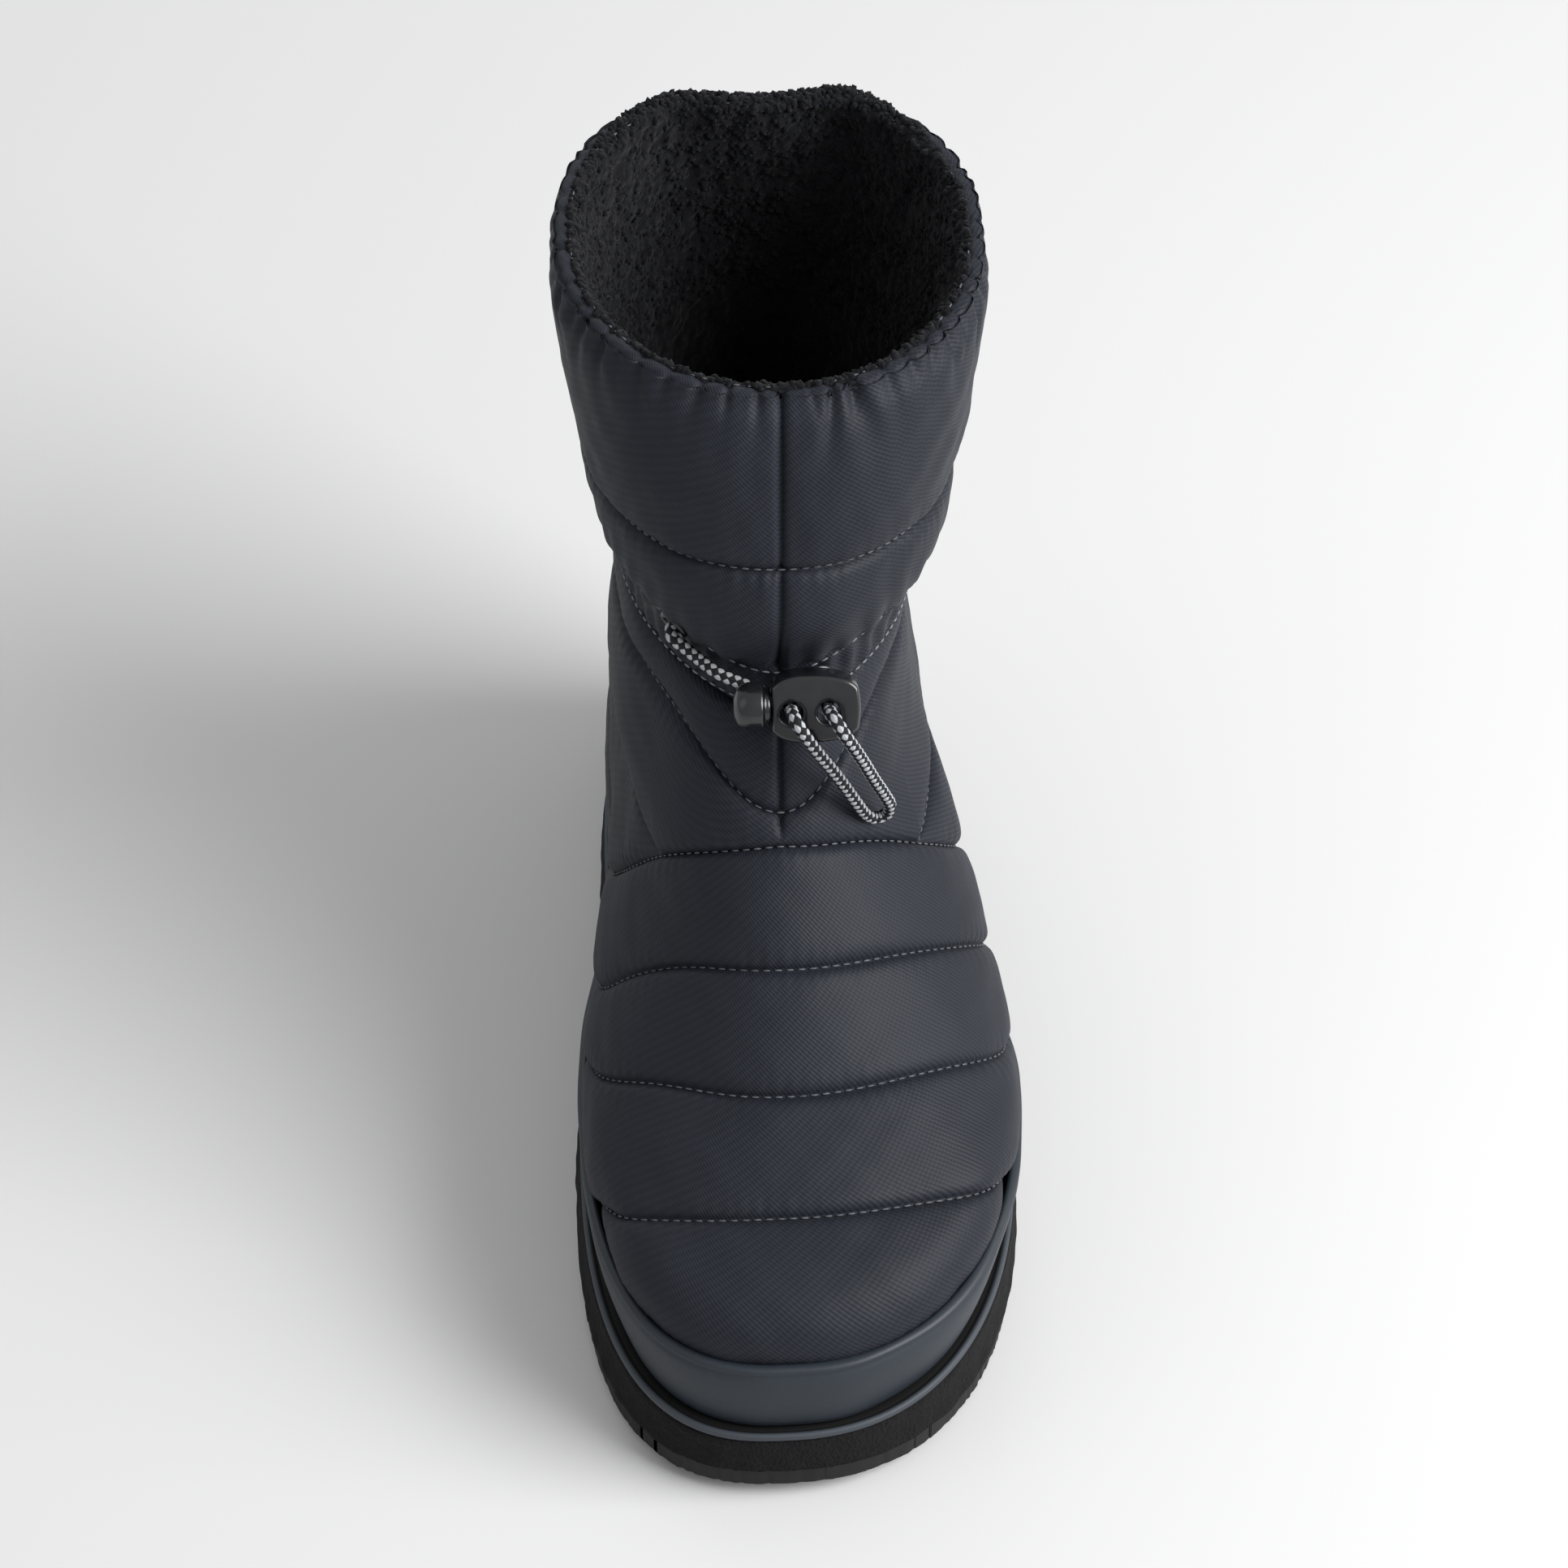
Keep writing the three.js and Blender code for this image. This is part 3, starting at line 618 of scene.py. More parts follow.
class Finish(Tree):
    """A material with one main shader."""

    def __init__(self, name, **settings):
        self.material = bpy.data.materials.new(name)
        self.material.use_nodes = True
        super().__init__(self.material.node_tree)
        self.tree.nodes.clear()
        self.shader = self.tree.nodes.new("ShaderNodeBsdfPrincipled")
        out = self.tree.nodes.new("ShaderNodeOutputMaterial")
        self.tree.links.new(self.shader.outputs[0], out.inputs["Surface"])
        for name, value in settings.items():
            self.shader.inputs[name.replace("_", " ")].default_value = value

    def place(self):
        """Object coordinates."""
        return self.node("ShaderNodeTexCoord", {})[3]

    def cloth(self):
        """The piece's own coordinates, as a vector."""
        return self.node("ShaderNodeUVMap", {"uv_map": "cloth"})[0]

    def parts(self, vector):
        """The three parts of a vector."""
        return self.node("ShaderNodeSeparateXYZ", {}, vector)

    def noise(self, vector, scale, detail=2.0, rough=0.5):
        return self.node("ShaderNodeTexNoise", {}, vector, Scale=scale, Detail=detail,
                         Roughness=rough)[0]

    def mix(self, factor, low, high):
        """Colour between two, by a factor."""
        return self.node("ShaderNodeMix", {"data_type": "RGBA"}, factor, low, high)[0]

    def bump(self, height, strength, distance, below=None):
        return self.node("ShaderNodeBump", {}, Strength=strength, Distance=distance, Height=height,
                         Normal=below)[0]

    def drive(self, name, value):
        """Lets a value vary one of the shader's sockets."""
        self.tree.links.new(value.socket, self.shader.inputs[name])


TWILL_PITCH = 0.85


def shell_finish():
    """Fine nylon twill: diagonal ribs, a soft sheen and a faint cloudiness."""
    cloth = Finish("shell_nylon", Roughness=0.52, Specular_IOR_Level=0.16, Sheen_Weight=0.02,
                   Sheen_Roughness=0.4)
    flat = cloth.cloth()
    u, v, _ = cloth.parts(flat)
    wander = cloth.noise(flat, 0.25, 2.0) * 1.5
    ribs = ((u + v) * (2 * math.pi / TWILL_PITCH / 1.414) + wander).sin() * 0.5 + 0.5
    cross = ((u - v) * (2 * math.pi / TWILL_PITCH / 2.8) + wander).sin() * 0.5 + 0.5
    cloud = cloth.noise(cloth.place(), 34.0, 3.0, 0.6)
    weave = ribs * 0.7 + cross * 0.3
    tone = (weave * 0.55 + cloud * 0.45).clamp()
    cloth.drive("Base Color", cloth.mix(tone, rgb("0f1116"), rgb("282b34")))
    cloth.drive("Roughness", 0.44 + cloud * 0.16 + (1 - weave) * 0.06)
    fine = cloth.bump(weave, 0.45, 0.00016)
    cloth.drive("Normal", cloth.bump(cloth.noise(cloth.place(), 420.0, 2.0), 0.10, 0.0003, fine))
    return cloth.material


def fleece_finish():
    """Curly fleece, nearly black with grey flecks."""
    fleece = Finish("fleece", Roughness=0.95, Specular_IOR_Level=0.08, Sheen_Weight=0.05,
                    Sheen_Roughness=0.6)
    at = fleece.place()
    curls = fleece.node("ShaderNodeTexVoronoi", {"feature": "SMOOTH_F1"}, at, Scale=420.0)[0]
    fluff = fleece.noise(at, 900.0, 3.0, 0.7)
    tone = ((1 - curls) * 0.5 + fluff * 0.6 - 0.25).clamp()
    fleece.drive("Base Color", fleece.mix(tone, rgb("020203"), rgb("222328")))
    fleece.drive("Normal", fleece.bump(fluff * 0.5 + (1 - curls), 0.9, 0.0012))
    return fleece.material


def rubber_finish(name, low, high, rough, grain, depth, outer=None, inner=None):
    """Moulded rubber with a fine grain, and with another colour at its edge, or with painted shade
    inside it where it runs in under another part.
    """
    rubber = Finish(name, Roughness=rough, Specular_IOR_Level=0.4)
    at = rubber.place()
    cloud = rubber.noise(at, 45.0, 3.0)
    grains = rubber.noise(at, grain, 2.0, 0.6)
    tone = rubber.mix((cloud * 0.6 + grains * 0.4).clamp(), rgb(low), rgb(high))
    # The inner colour is painted shade: near black where the rubber runs in under another part.
    if outer or inner:
        inward = rubber.parts(rubber.cloth())[0]
        tone = rubber.mix(((inward - 0.8) / 0.8).clamp(), rgb(outer) if outer else tone,
                          rgb(inner) if inner else tone)
    rubber.drive("Base Color", tone)
    rubber.drive("Roughness", rough - 0.06 + cloud * 0.12)
    rubber.drive("Normal", rubber.bump(grains, 0.35, depth))
    return rubber.material


def foam_finish():
    """Black foam with open grains."""
    foam = Finish("foam_black", Roughness=0.92, Specular_IOR_Level=0.2)
    at = foam.place()
    pores = foam.node("ShaderNodeTexVoronoi", {}, at, Scale=1100.0)[0]
    grains = foam.noise(at, 700.0, 3.0, 0.7)
    foam.drive("Base Color", foam.mix((grains * 0.7 + pores * 0.5 - 0.2).clamp(), rgb("080809"),
                                      rgb("19191b")))
    foam.drive("Normal", foam.bump(grains + pores * 0.6, 0.8, 0.0006))
    return foam.material


def plastic_finish(name, rough):
    """Polished black plastic with faint handling haze."""
    plastic = Finish(name, Specular_IOR_Level=0.5, Coat_Weight=0.25, Coat_Roughness=0.12)
    haze = plastic.noise(plastic.place(), 160.0, 3.0, 0.6)
    plastic.drive("Base Color", plastic.mix(haze, rgb("0d0e10"), rgb("1d1f22")))
    plastic.drive("Roughness", rough + haze * 0.12)
    plastic.drive("Normal", plastic.bump(haze, 0.05, 0.0002))
    return plastic.material


BRAID_PITCH = 4.4
BRAID_ROWS = 4
BRAID_DEPTH = 0.34


def cord_finish():
    """Braided cord: light checks on a dark ground."""
    cord = Finish("elastic_cord", Roughness=0.75, Specular_IOR_Level=0.3)
    u, v, _ = cord.parts(cord.cloth())
    one_way = ((u * BRAID_ROWS + v * (2 / BRAID_PITCH)) * math.pi).sin()
    other_way = ((u * BRAID_ROWS - v * (2 / BRAID_PITCH)) * math.pi).sin()
    checks = ((one_way * other_way) * 5 - 0.1).clamp()
    fine = 2 * math.pi / 0.55
    braid = ((u * 40 + v * fine).sin() * (u * 40 - v * fine).sin()) * 0.5 + 0.5
    cord.drive("Base Color", cord.mix((checks * (0.65 + braid * 0.35)).clamp(), rgb("101114"),
                                      rgb("b2b5ba")))
    cord.drive("Normal", cord.bump(braid, 0.5, 0.0002))
    return cord.material


def thread_finish(name, low, high):
    """Waxed sewing thread."""
    thread = Finish(name, Roughness=0.6, Specular_IOR_Level=0.35)
    shade = thread.noise(thread.place(), 300.0, 2.0)
    thread.drive("Base Color", thread.mix(shade, rgb(low), rgb(high)))
    return thread.material


nylon = shell_finish()
dark_thread = thread_finish("dark_thread", "222429", "666971")
light_thread = thread_finish("light_thread", "3c3f46", "8b8e95")
fleece = fleece_finish()
rand_rubber = rubber_finish("rand_rubber", "171d23", "242c34", 0.5, 900.0, 0.00008)
# The welt's inner colour is painted shade: the dark gap under the rand's bottom edge.
welt_rubber = rubber_finish("welt_rubber", "2b3036", "3b4148", 0.6, 900.0, 0.0001, inner="070708")
tread_rubber = rubber_finish("tread_rubber", "30313a", "44454f", 0.72, 700.0, 0.00015, outer="0b0b0c")
foam = foam_finish()
gloss = plastic_finish("gloss_plastic", 0.18)
eyelet_plastic = plastic_finish("eyelet_plastic", 0.3)
braid = cord_finish()

# Quilting lines, as places up the sections
RAND_LINE = 1.05
TUCK = 0.9
VAMP_LINES = [(3, 0.275, 2.5, 0.235, 2.1), (4, 0.43, 2.3, 0.40, 2.0), (5, 0.57, 1.95, 0.5, 1.8),
              (6, 0.72, 1.65, 0.66, 1.6)]
QUARTER_LINES = [(3.1, 3.0), (5.15, 5.2), (6.3, 6.97), (7.38, 7.6)]
TUNNEL_TOP = (8.1, 8.6)
CUFF_LINE = (9.58, 9.34)
DIP_WIDTH = 0.12


def dipped(line, share):
    """Height of a line that runs round the boot and dips at the front."""
    front, back = line
    return back + (front - back) * np.exp(-(share / DIP_WIDTH) ** 2)


def line_places(rounds):
    """Places of the vamp lines and quarter lines, tucked behind the rand where they end."""
    turn = rounds - np.floor(rounds)
    lateral = turn <= 0.5
    share = np.where(lateral, turn * 2, (1 - turn) * 2)
    stack = [all_round(TUCK, rounds)]
    for front, reach_lateral, bend_lateral, reach_medial, bend_medial in VAMP_LINES:
        gone = share / np.where(lateral, reach_lateral, reach_medial)
        height = front - (front - RAND_LINE) * gone ** np.where(lateral, bend_lateral, bend_medial)
        stack.append(np.maximum(height, stack[-1]))
    for line in QUARTER_LINES:
        stack.append(np.maximum(dipped(line, share), stack[-1]))
    stack.append(dipped(TUNNEL_TOP, share))
    stack.append(CUFF_LINE[0] + (CUFF_LINE[1] - CUFF_LINE[0]) * smooth(share / 0.5))
    stack.append(all_round(LAST, rounds))
    return np.array(stack)


# Numbers of the lines from the rand to the belt of the cuff, and how the padding swells between them
RAND, TOE, LOW, HIGH, VAMP_SEAM, QUARTER_LOW, QUARTER_MID, QUARTER_HIGH = range(8)
TUNNEL_LOW, TUNNEL_HIGH, CUFF_BELT = range(8, 11)
CREASE = 1.8
PUFF = 1.7
FULL_PUFF = 20.0
DEEPEST = 2.3
PUCKER_PITCH = 3.7
PUCKER_DEPTH = 0.34
PUCKER_REACH = 2.3
SEAM_START = 6.02
SEAM_WIDTH = 0.8
JUST_BELOW_ONE = 0.99999


def line_run(k, rounds):
    """Points of line k on the base form, its directions, its running length and its rise."""
    places = line_places(rounds)[k]
    points = base_point(places, rounds)
    way = np.gradient(points, axis=0)
    way /= np.maximum(np.linalg.norm(way, axis=1, keepdims=True), 1e-9)
    steps = np.linalg.norm(np.diff(points, axis=0), axis=1)
    run = np.concatenate([[0], np.cumsum(steps)])
    return points, way, run, look_up(RISEN, places, rounds)


def from_line(base, line):
    """Distance of points of the base form from a line, and the running length at its foot."""
    points, way, run, _ = line
    offset = base - points
    along = (offset * way).sum(-1)
    return np.linalg.norm(offset - along[..., None] * way, axis=-1), run + along


def pucker(distance, run, seed):
    """Small folds that the stitches pull into the cloth, square to the seam."""
    rng = np.random.default_rng(seed)
    phase = rng.uniform(0, 6.28, 4)
    sway = 1.1 * np.sin(run / 9 + phase[0]) + 0.8 * np.sin(run / 4.1 + phase[1])
    strong = 0.62 + 0.3 * np.sin(run / 13 + phase[2]) + 0.25 * np.sin(run / 5.7 + phase[3])
    fold = np.sin(2 * math.pi * run / PUCKER_PITCH + sway)
    fade = (1 - np.exp(-distance / 0.7)) * np.exp(-distance / PUCKER_REACH)
    return PUCKER_DEPTH * strong * fold * fade


def swell_out(below, above, run_below, run_above, k):
    """Height of the padded cloth between two stitch lines, from its distances to them."""
    gap = below + above
    full = smooth(gap / FULL_PUFF)
    near = below * above / np.maximum(gap, 1e-6)
    crown = (4 * below * above / np.maximum(gap, 1e-6) ** 2) ** 0.85
    climb = 1 - np.exp(-near / 1.15)
    out = -CREASE + climb * (CREASE + 0.55 * PUFF * full) + 0.45 * PUFF * full * crown
    wide = smooth(gap / 13 - 0.3)
    out += wide * (pucker(below, run_below, 100 + k) + pucker(above, run_above, 200 + k))
    return out


def panel_rows(k_low, counts, rounds):
    """Grid of places between lines, with its distances and running lengths, line by line."""
    places, outs = [], []
    lines = [line_run(k, rounds) for k in range(k_low, k_low + len(counts) + 1)]
    for n, count in enumerate(counts):
        rise_a, rise_b = lines[n][3], lines[n + 1][3]
        share = (np.arange(count) / count)[:, None]
        share = share - 0.5 * np.sin(2 * math.pi * share) / (2 * math.pi)
        place = place_at_rise(rise_a + (rise_b - rise_a) * share, rounds)
        base = base_point(place, np.broadcast_to(rounds, place.shape))
        below, foot_a = from_line(base, lines[n])
        above, foot_b = from_line(base, lines[n + 1])
        places.append(place)
        outs.append(swell_out(below, above, foot_a, foot_b, k_low + n))
    top = line_places(rounds)[k_low + len(counts)][None]
    places.append(top)
    outs.append(all_round(-CREASE, top))
    return np.concatenate(places), np.concatenate(outs)


def front_seam(place, round_at, depth=2.3):
    """Depth of the closing seam down the front centre of the shaft."""
    turn = round_at - np.round(round_at)
    girth = look_up(GONE_ROUND, place, all_round(JUST_BELOW_ONE, place))
    aside = np.abs(turn) * girth
    furrow = depth * np.exp(-(aside / SEAM_WIDTH) ** 1.2) + 0.7 * np.exp(-(aside / 6) ** 1.4)
    return furrow * smooth((place - SEAM_START) / 0.25)


def cloth_uv(place, rounds):
    """Flat coordinates of the cloth in millimetres, for its weave."""
    wide = np.broadcast_to(rounds, place.shape)
    level = np.broadcast_to(place[len(place) // 2], place.shape)
    girth = look_up(GONE_ROUND, level, all_round(JUST_BELOW_ONE, level))
    along = look_up(GONE_ROUND, level, wide) + np.floor(wide) * girth
    return np.stack([along, look_up(RISEN, place, wide)], -1)


BACK_DEPTH = 2.6


def backed(outer, place, rounds, every=6):
    """A panel's rows with those of its own back, which close it behind the cloth, and their places."""
    picks = list(range(0, len(place), every))
    if picks[-1] != len(place) - 1:
        picks.append(len(place) - 1)
    back_place = place[picks[::-1]]
    back = surface(back_place, np.broadcast_to(rounds, back_place.shape),
                   all_round(-BACK_DEPTH, back_place))
    return np.concatenate([outer, back]), np.concatenate([place, back_place])


def quilted_panel(name, k_low, counts, rounds, around):
    """Padded cloth panel between two of its seams. One that goes right round has the front seam."""
    place, out = panel_rows(k_low, counts, rounds)
    wide = np.broadcast_to(rounds, place.shape)
    base = base_point(place, wide)
    out = out + 0.24 * soft_noise(base, 34, 11) * smooth((out + CREASE) / 1.2)
    out = out + 0.07 * soft_noise(base, 9, 12) * smooth((out + CREASE) / 1.2)
    if around:
        out = out - front_seam(place, wide)
    grid, all_places = backed(surface(place, wide, np.maximum(out, -DEEPEST)), place, rounds)
    return closed_grid(name, grid, around, cloth_uv(all_places, rounds), 0.02)


VAMP_COUNTS = [46, 26, 24, 24]
QUARTER_COUNTS = [26, 28, 26, 18]
vamp_rounds = snapped_rounds(380, -0.345, 0.375)
quarter_rounds = snapped_rounds(500, gather=0.5)[:-1]
shaft_rounds = snapped_rounds(400, gather=0.5)[:-1]

shell_vamp = quilted_panel("shell_vamp", RAND, VAMP_COUNTS, vamp_rounds, False)
shell_quarter = quilted_panel("shell_quarter", VAMP_SEAM, QUARTER_COUNTS, quarter_rounds, True)


def tunnel_piece():
    """Drawcord tunnel, a flatter band that the cord gathers."""
    rounds = shaft_rounds
    _, _, run_a, rise_a = line_run(TUNNEL_LOW, rounds)
    rise_b = line_run(TUNNEL_HIGH, rounds)[3]
    share = np.linspace(0, 1, 27)[:, None]
    place = place_at_rise(rise_a + (rise_b - rise_a) * share, rounds)
    wide = np.broadcast_to(rounds, place.shape)
    base = base_point(place, wide)
    edge = np.minimum(share, 1 - share) * (rise_b - rise_a)
    body = 1 - np.exp(-edge / 1.1)
    gather = 0.42 * np.sin(2 * math.pi * run_a / 6.5 + 1.4 * np.sin(run_a / 11)) * body
    out = -CREASE + (CREASE + 0.9) * body + gather + 0.25 * soft_noise(base, 9, 21) * body
    out = np.maximum(out - front_seam(place, wide, 1.4), -DEEPEST)
    grid, all_places = backed(surface(place, wide, out), place, rounds, 7)
    return closed_grid("drawcord_tunnel", grid, True, cloth_uv(all_places, rounds), 0.02)


RIM_RADIUS = 2.6
RIM_IN = 0.7
RIM_AXIS = -RIM_IN - RIM_RADIUS
PINCH_AT = 17.5
SHOULDERS = ((0.437, 3.4, 0.026), (0.562, 2.6, 0.026))
FOLDED_BACK = (0.5, -1.8, 0.04)
COLLAR_FADE = 26


def collar_shape(rounds, to_top=0.0):
    """The collar's own shape: its back is folded in flat between two soft shoulders."""
    turn = rounds - np.floor(rounds)
    shape = 0
    for at, height, width in (*SHOULDERS, FOLDED_BACK):
        shape = shape + height * np.exp(-((turn - at) / width) ** 2)
    return shape * np.exp(-(np.asarray(to_top) / COLLAR_FADE) ** 2)


def rim_point(rounds, angle, radius, out=RIM_AXIS, drop=0.0):
    """Point on the roll of the collar. Angle 0 looks outwards and a quarter turn looks up."""
    top = all_round(LAST, rounds)
    point = surface(top, rounds, out + collar_shape(rounds))
    point += base_normal(top, rounds) * np.asarray(radius * np.cos(angle))[..., None]
    point[..., 2] += radius * np.sin(angle) - RIM_RADIUS - drop
    return point


def rim_gathers(run, to_top):
    """Short folds below the rim, uneven in depth, length and slant, with one deep pinch."""
    rng = np.random.default_rng(31)
    spots = [(PINCH_AT, 1.9, 3.0, 8.0, 0.3)]
    where = 0.0
    while where < run.max():
        spots.append((where, rng.uniform(0.8, 1.5), rng.uniform(0.5, 2.2), rng.uniform(4, 13),
                      rng.uniform(-0.3, 0.3)))
        where += rng.uniform(4.2, 9.0)
    folds = np.zeros(np.broadcast_shapes(run.shape, np.shape(to_top)))
    for place, width, deep, reach, slant in spots:
        aside = (run - place - slant * to_top) / (width * (1 + to_top / 12))
        folds -= deep * np.exp(-aside ** 2 - (to_top / reach) ** 1.5)
    return folds


CUFF_COUNTS = [34, 40]


def cuff_cloth(rounds, run):
    """Places of the cuff's cloth, its heights, and its running lengths up to the rim."""
    place, out = panel_rows(TUNNEL_HIGH, CUFF_COUNTS, rounds)
    wide = np.broadcast_to(rounds, place.shape)
    base = base_point(place, wide)
    risen = look_up(RISEN, place, wide)
    from_bottom = risen - risen[:1]
    to_top = risen[-1:] - risen
    lower = from_bottom < np.minimum(risen[CUFF_COUNTS[0]] - risen[0], 6)
    out = np.where(lower, np.maximum(out, -CREASE + 1.6 + 0.2 * from_bottom), out)
    out = out + 1.9 * np.exp(-from_bottom / 5.5)
    top_round = smooth(to_top / 7)
    out = out * top_round - RIM_IN * (1 - top_round)
    out = out + 0.30 * soft_noise(base, 30, 41) + 0.10 * soft_noise(base, 8, 42)
    out = out + rim_gathers(run, to_top) + collar_shape(wide, to_top)
    pleats = 0.5 * np.sin(2 * math.pi * run / 8.3 + 1.7 * np.sin(run / 17))
    out = out + pleats * np.exp(-from_bottom / 7) - front_seam(place, wide, 1.9)
    return place, out, risen


def cuff_piece():
    """Wide cuff above the tunnel, with its belt line and its rolled rim."""
    rounds = shaft_rounds
    run = look_up(GONE_ROUND, all_round(LAST, rounds), rounds)
    place, out, risen = cuff_cloth(rounds, run)
    wide = np.broadcast_to(rounds, place.shape)
    hem = [surface(place[0], rounds, out[0] - 1.2 * step) - [0, 0, 0.4 * step] for step in (2, 1)]
    fold = front_seam(all_round(LAST, rounds), rounds, 1.2)
    radius = RIM_RADIUS + 0.5 * rim_gathers(run, np.zeros(1)) - fold
    roll = [rim_point(rounds, angle, radius) for angle in np.radians([18, 42, 66, 90, 112, 134, 156])]
    roll.append(rim_point(rounds, math.radians(170), RIM_RADIUS * 0.6, drop=2.0))
    picks = list(range(2, len(place) - 4, 8))[::-1]
    inwards = collar_shape(wide[picks], risen[-1:] - risen[picks]) - 3.4
    grid = np.concatenate([hem, surface(place, wide, out)[:-1], roll,
                           surface(place[picks], wide[picks], inwards)])
    uv = run_uv(grid, run)
    uv[..., 1] += risen[0]
    return closed_grid("shell_cuff", grid, True, uv)


drawcord_tunnel = tunnel_piece()
shell_cuff = cuff_piece()

STITCH_STEP = 2.9
STITCH_OUT = -1.05
TUNNEL_STITCH_OUT = 1.05
RIM_STITCH_STEP = 2.6
stitch_lines = stitch_recipe()
one_stitch = stitch_unit()


def stitched(name, runs, finish, step=STITCH_STEP):
    """Stitches along several open runs of points."""
    points, edges = [], []
    for run in runs:
        edges += [(k, k + 1) for k in range(len(points), len(points) + len(run) - 1)]
        points += run.tolist()
    return stitch_lines.run(name, np.array(points), edges, [], Step=step * MM, Unit=one_stitch,
                            Finish=finish)


def split_runs(points, keep):
    """The unbroken stretches of a run where keep holds."""
    edges = np.flatnonzero(np.diff(np.concatenate([[0], keep.astype(int), [0]])))
    return [points[low:high] for low, high in zip(edges[::2], edges[1::2]) if high - low > 4]


def line_stitches(name, lines, rounds):
    """Stitches along quilting lines, where each stands clear of the line under it."""
    stack = line_places(rounds)
    runs = []
    for k in lines:
        below = stack[k] - (stack[k - 1] if k > TOE else RAND_LINE)
        points = surface(stack[k], rounds, all_round(STITCH_OUT, rounds))
        runs += split_runs(points, (below > 0.05) & (stack[k] > RAND_LINE + 0.05))
    return stitched(name, runs, dark_thread)


def tunnel_stitches():
    """Two rows of lighter thread along the edges of the tunnel."""
    runs = []
    rise_a, rise_b = (line_run(k, quarter_rounds)[3] for k in (TUNNEL_LOW, TUNNEL_HIGH))
    for risen in (rise_a + 2.0, rise_b - 1.6):
        place = place_at_rise(risen[None], quarter_rounds)[0]
        runs.append(surface(place, quarter_rounds, all_round(TUNNEL_STITCH_OUT, place)))
    return stitched("stitches_tunnel", runs, light_thread)


def rim_stitches():
    """Row of stitches inside the rolled rim, where the fleece begins."""
    run = rim_point(snapped_rounds(375), math.radians(128), RIM_RADIUS + 0.15)
    return stitched("stitches_rim", [run], dark_thread, RIM_STITCH_STEP)


stitches_vamp = line_stitches("stitches_vamp", (TOE, LOW, HIGH, VAMP_SEAM), vamp_rounds)
stitches_shaft = line_stitches("stitches_shaft", (QUARTER_LOW, QUARTER_MID, QUARTER_HIGH, CUFF_BELT),
                               snapped_rounds(500))
stitches_tunnel = tunnel_stitches()
stitches_rim = rim_stitches()


def fluff(points):
    """Height of the fleece's clumps and curls."""
    return 2.1 * clumps(points, 8.5, 5) + 1.0 * clumps(points, 3.0, 6) - 1.5


def spread(places, rounds):
    """Grid of places by rounds."""
    wide = np.broadcast_to(rounds, (len(places), len(rounds)))
    return np.broadcast_to(np.asarray(places)[:, None], wide.shape), wide


def collared(place, wide):
    """The collar's own shape at places of the shaft."""
    to_top = look_up(RISEN, all_round(LAST, place), wide) - look_up(RISEN, place, wide)
    return collar_shape(wide, to_top)


LINING_LIFT = 0.9
CURL_LIFT = 1.3
WALL_CURLS = 0.36
RIM_CURLS = 0.95


def fleece_face(place, wide, lift):
    """Points of the lining's clumped face."""
    clumped = np.clip(fluff(base_point(place, wide)), -1.2, 1.6)
    return surface(place, wide, lift - WALL - clumped + collared(place, wide))


def lining_piece():
    """Fleece lining from the rim down to the insole."""
    rounds = snapped_rounds(375)[:-1]
    places = LAST - 0.12 - (LAST - 0.14) * np.linspace(0, 1, 200) ** 1.15
    inner = fleece_face(*spread(places, rounds), LINING_LIFT)
    top = []
    for angle in np.radians([60, 95, 130]):
        point = rim_point(rounds, angle, 1.9, -5.2, 0.2)
        point[:, 2] += 0.8 * fluff(point)
        top.append(point)
    place, wide = spread([0.02, 2, 4, 5.5, 7, 8.2, 9.4, 10.4, LAST - 0.15], rounds)
    back = surface(place, wide, collared(place, wide) - 3.9)
    return closed_grid("fleece_lining", np.concatenate([top, inner, back]), True)


fleece_lining = lining_piece()
tufts = tuft_recipe()
one_curl = curl_unit()
tuft_rounds = snapped_rounds(300)[:-1]


def tuft_piece(name, grid, density, seed):
    """Curls over a grid of points that closes on itself sideways."""
    faces, _, _ = grid_faces(*grid.shape[:2], False, True)
    return tufts.run(name, grid.reshape(-1, 3), [], faces.tolist(), Density=density / MM ** 2,
                     Seed=seed, Unit=one_curl, Finish=fleece)


def wall_tufts():
    """Curls down the inside of the shaft."""
    wall = fleece_face(*spread(np.linspace(LAST - 0.05, 9.0, 60), tuft_rounds), CURL_LIFT)
    return tuft_piece("fleece_curls", wall, WALL_CURLS, 3)


def rim_tufts():
    """Curls that spill over the rim, farther out round the back."""
    start = 118 - 78 * smooth((0.5 - np.abs(tuft_rounds - 0.5) - 0.33) / 0.1)
    rows = [rim_point(tuft_rounds, np.radians(start + (168 - start) * share), RIM_RADIUS + 0.35)
            for share in np.linspace(0, 1, 6)]
    return tuft_piece("fleece_rim_curls", np.array(rows), RIM_CURLS, 4)


fleece_curls = wall_tufts()
fleece_rim_curls = rim_tufts()


def lid(build, ring, verts, across, lift=None):
    """Faces over a ring of a slab, in rows from side to side, lifted inside its edge if asked."""
    count = len(ring)
    half = count // 2
    share = np.linspace(0, 1, across)[:, None]
    points = np.array([ring[i] + (ring[-i] - ring[i]) * share for i in range(half + 1)])
    if lift:
        points[1:-1, 1:-1, 2] += lift(points[1:-1, 1:-1])
    rows = []
    for i in range(half + 1):
        inner = [] if i in (0, half) else [build.verts.new(p) for p in to_metres(points[i, 1:-1])]
        rows.append([verts[i], *inner, verts[-i]] if inner or across == 2 else [verts[i]] * across)
    for near, far in zip(rows[:-1], rows[1:]):
        for j in range(across - 1):
            corners = list(dict.fromkeys([near[j], near[j + 1], far[j + 1], far[j]]))
            if len(corners) > 2:
                build.faces.new(corners)


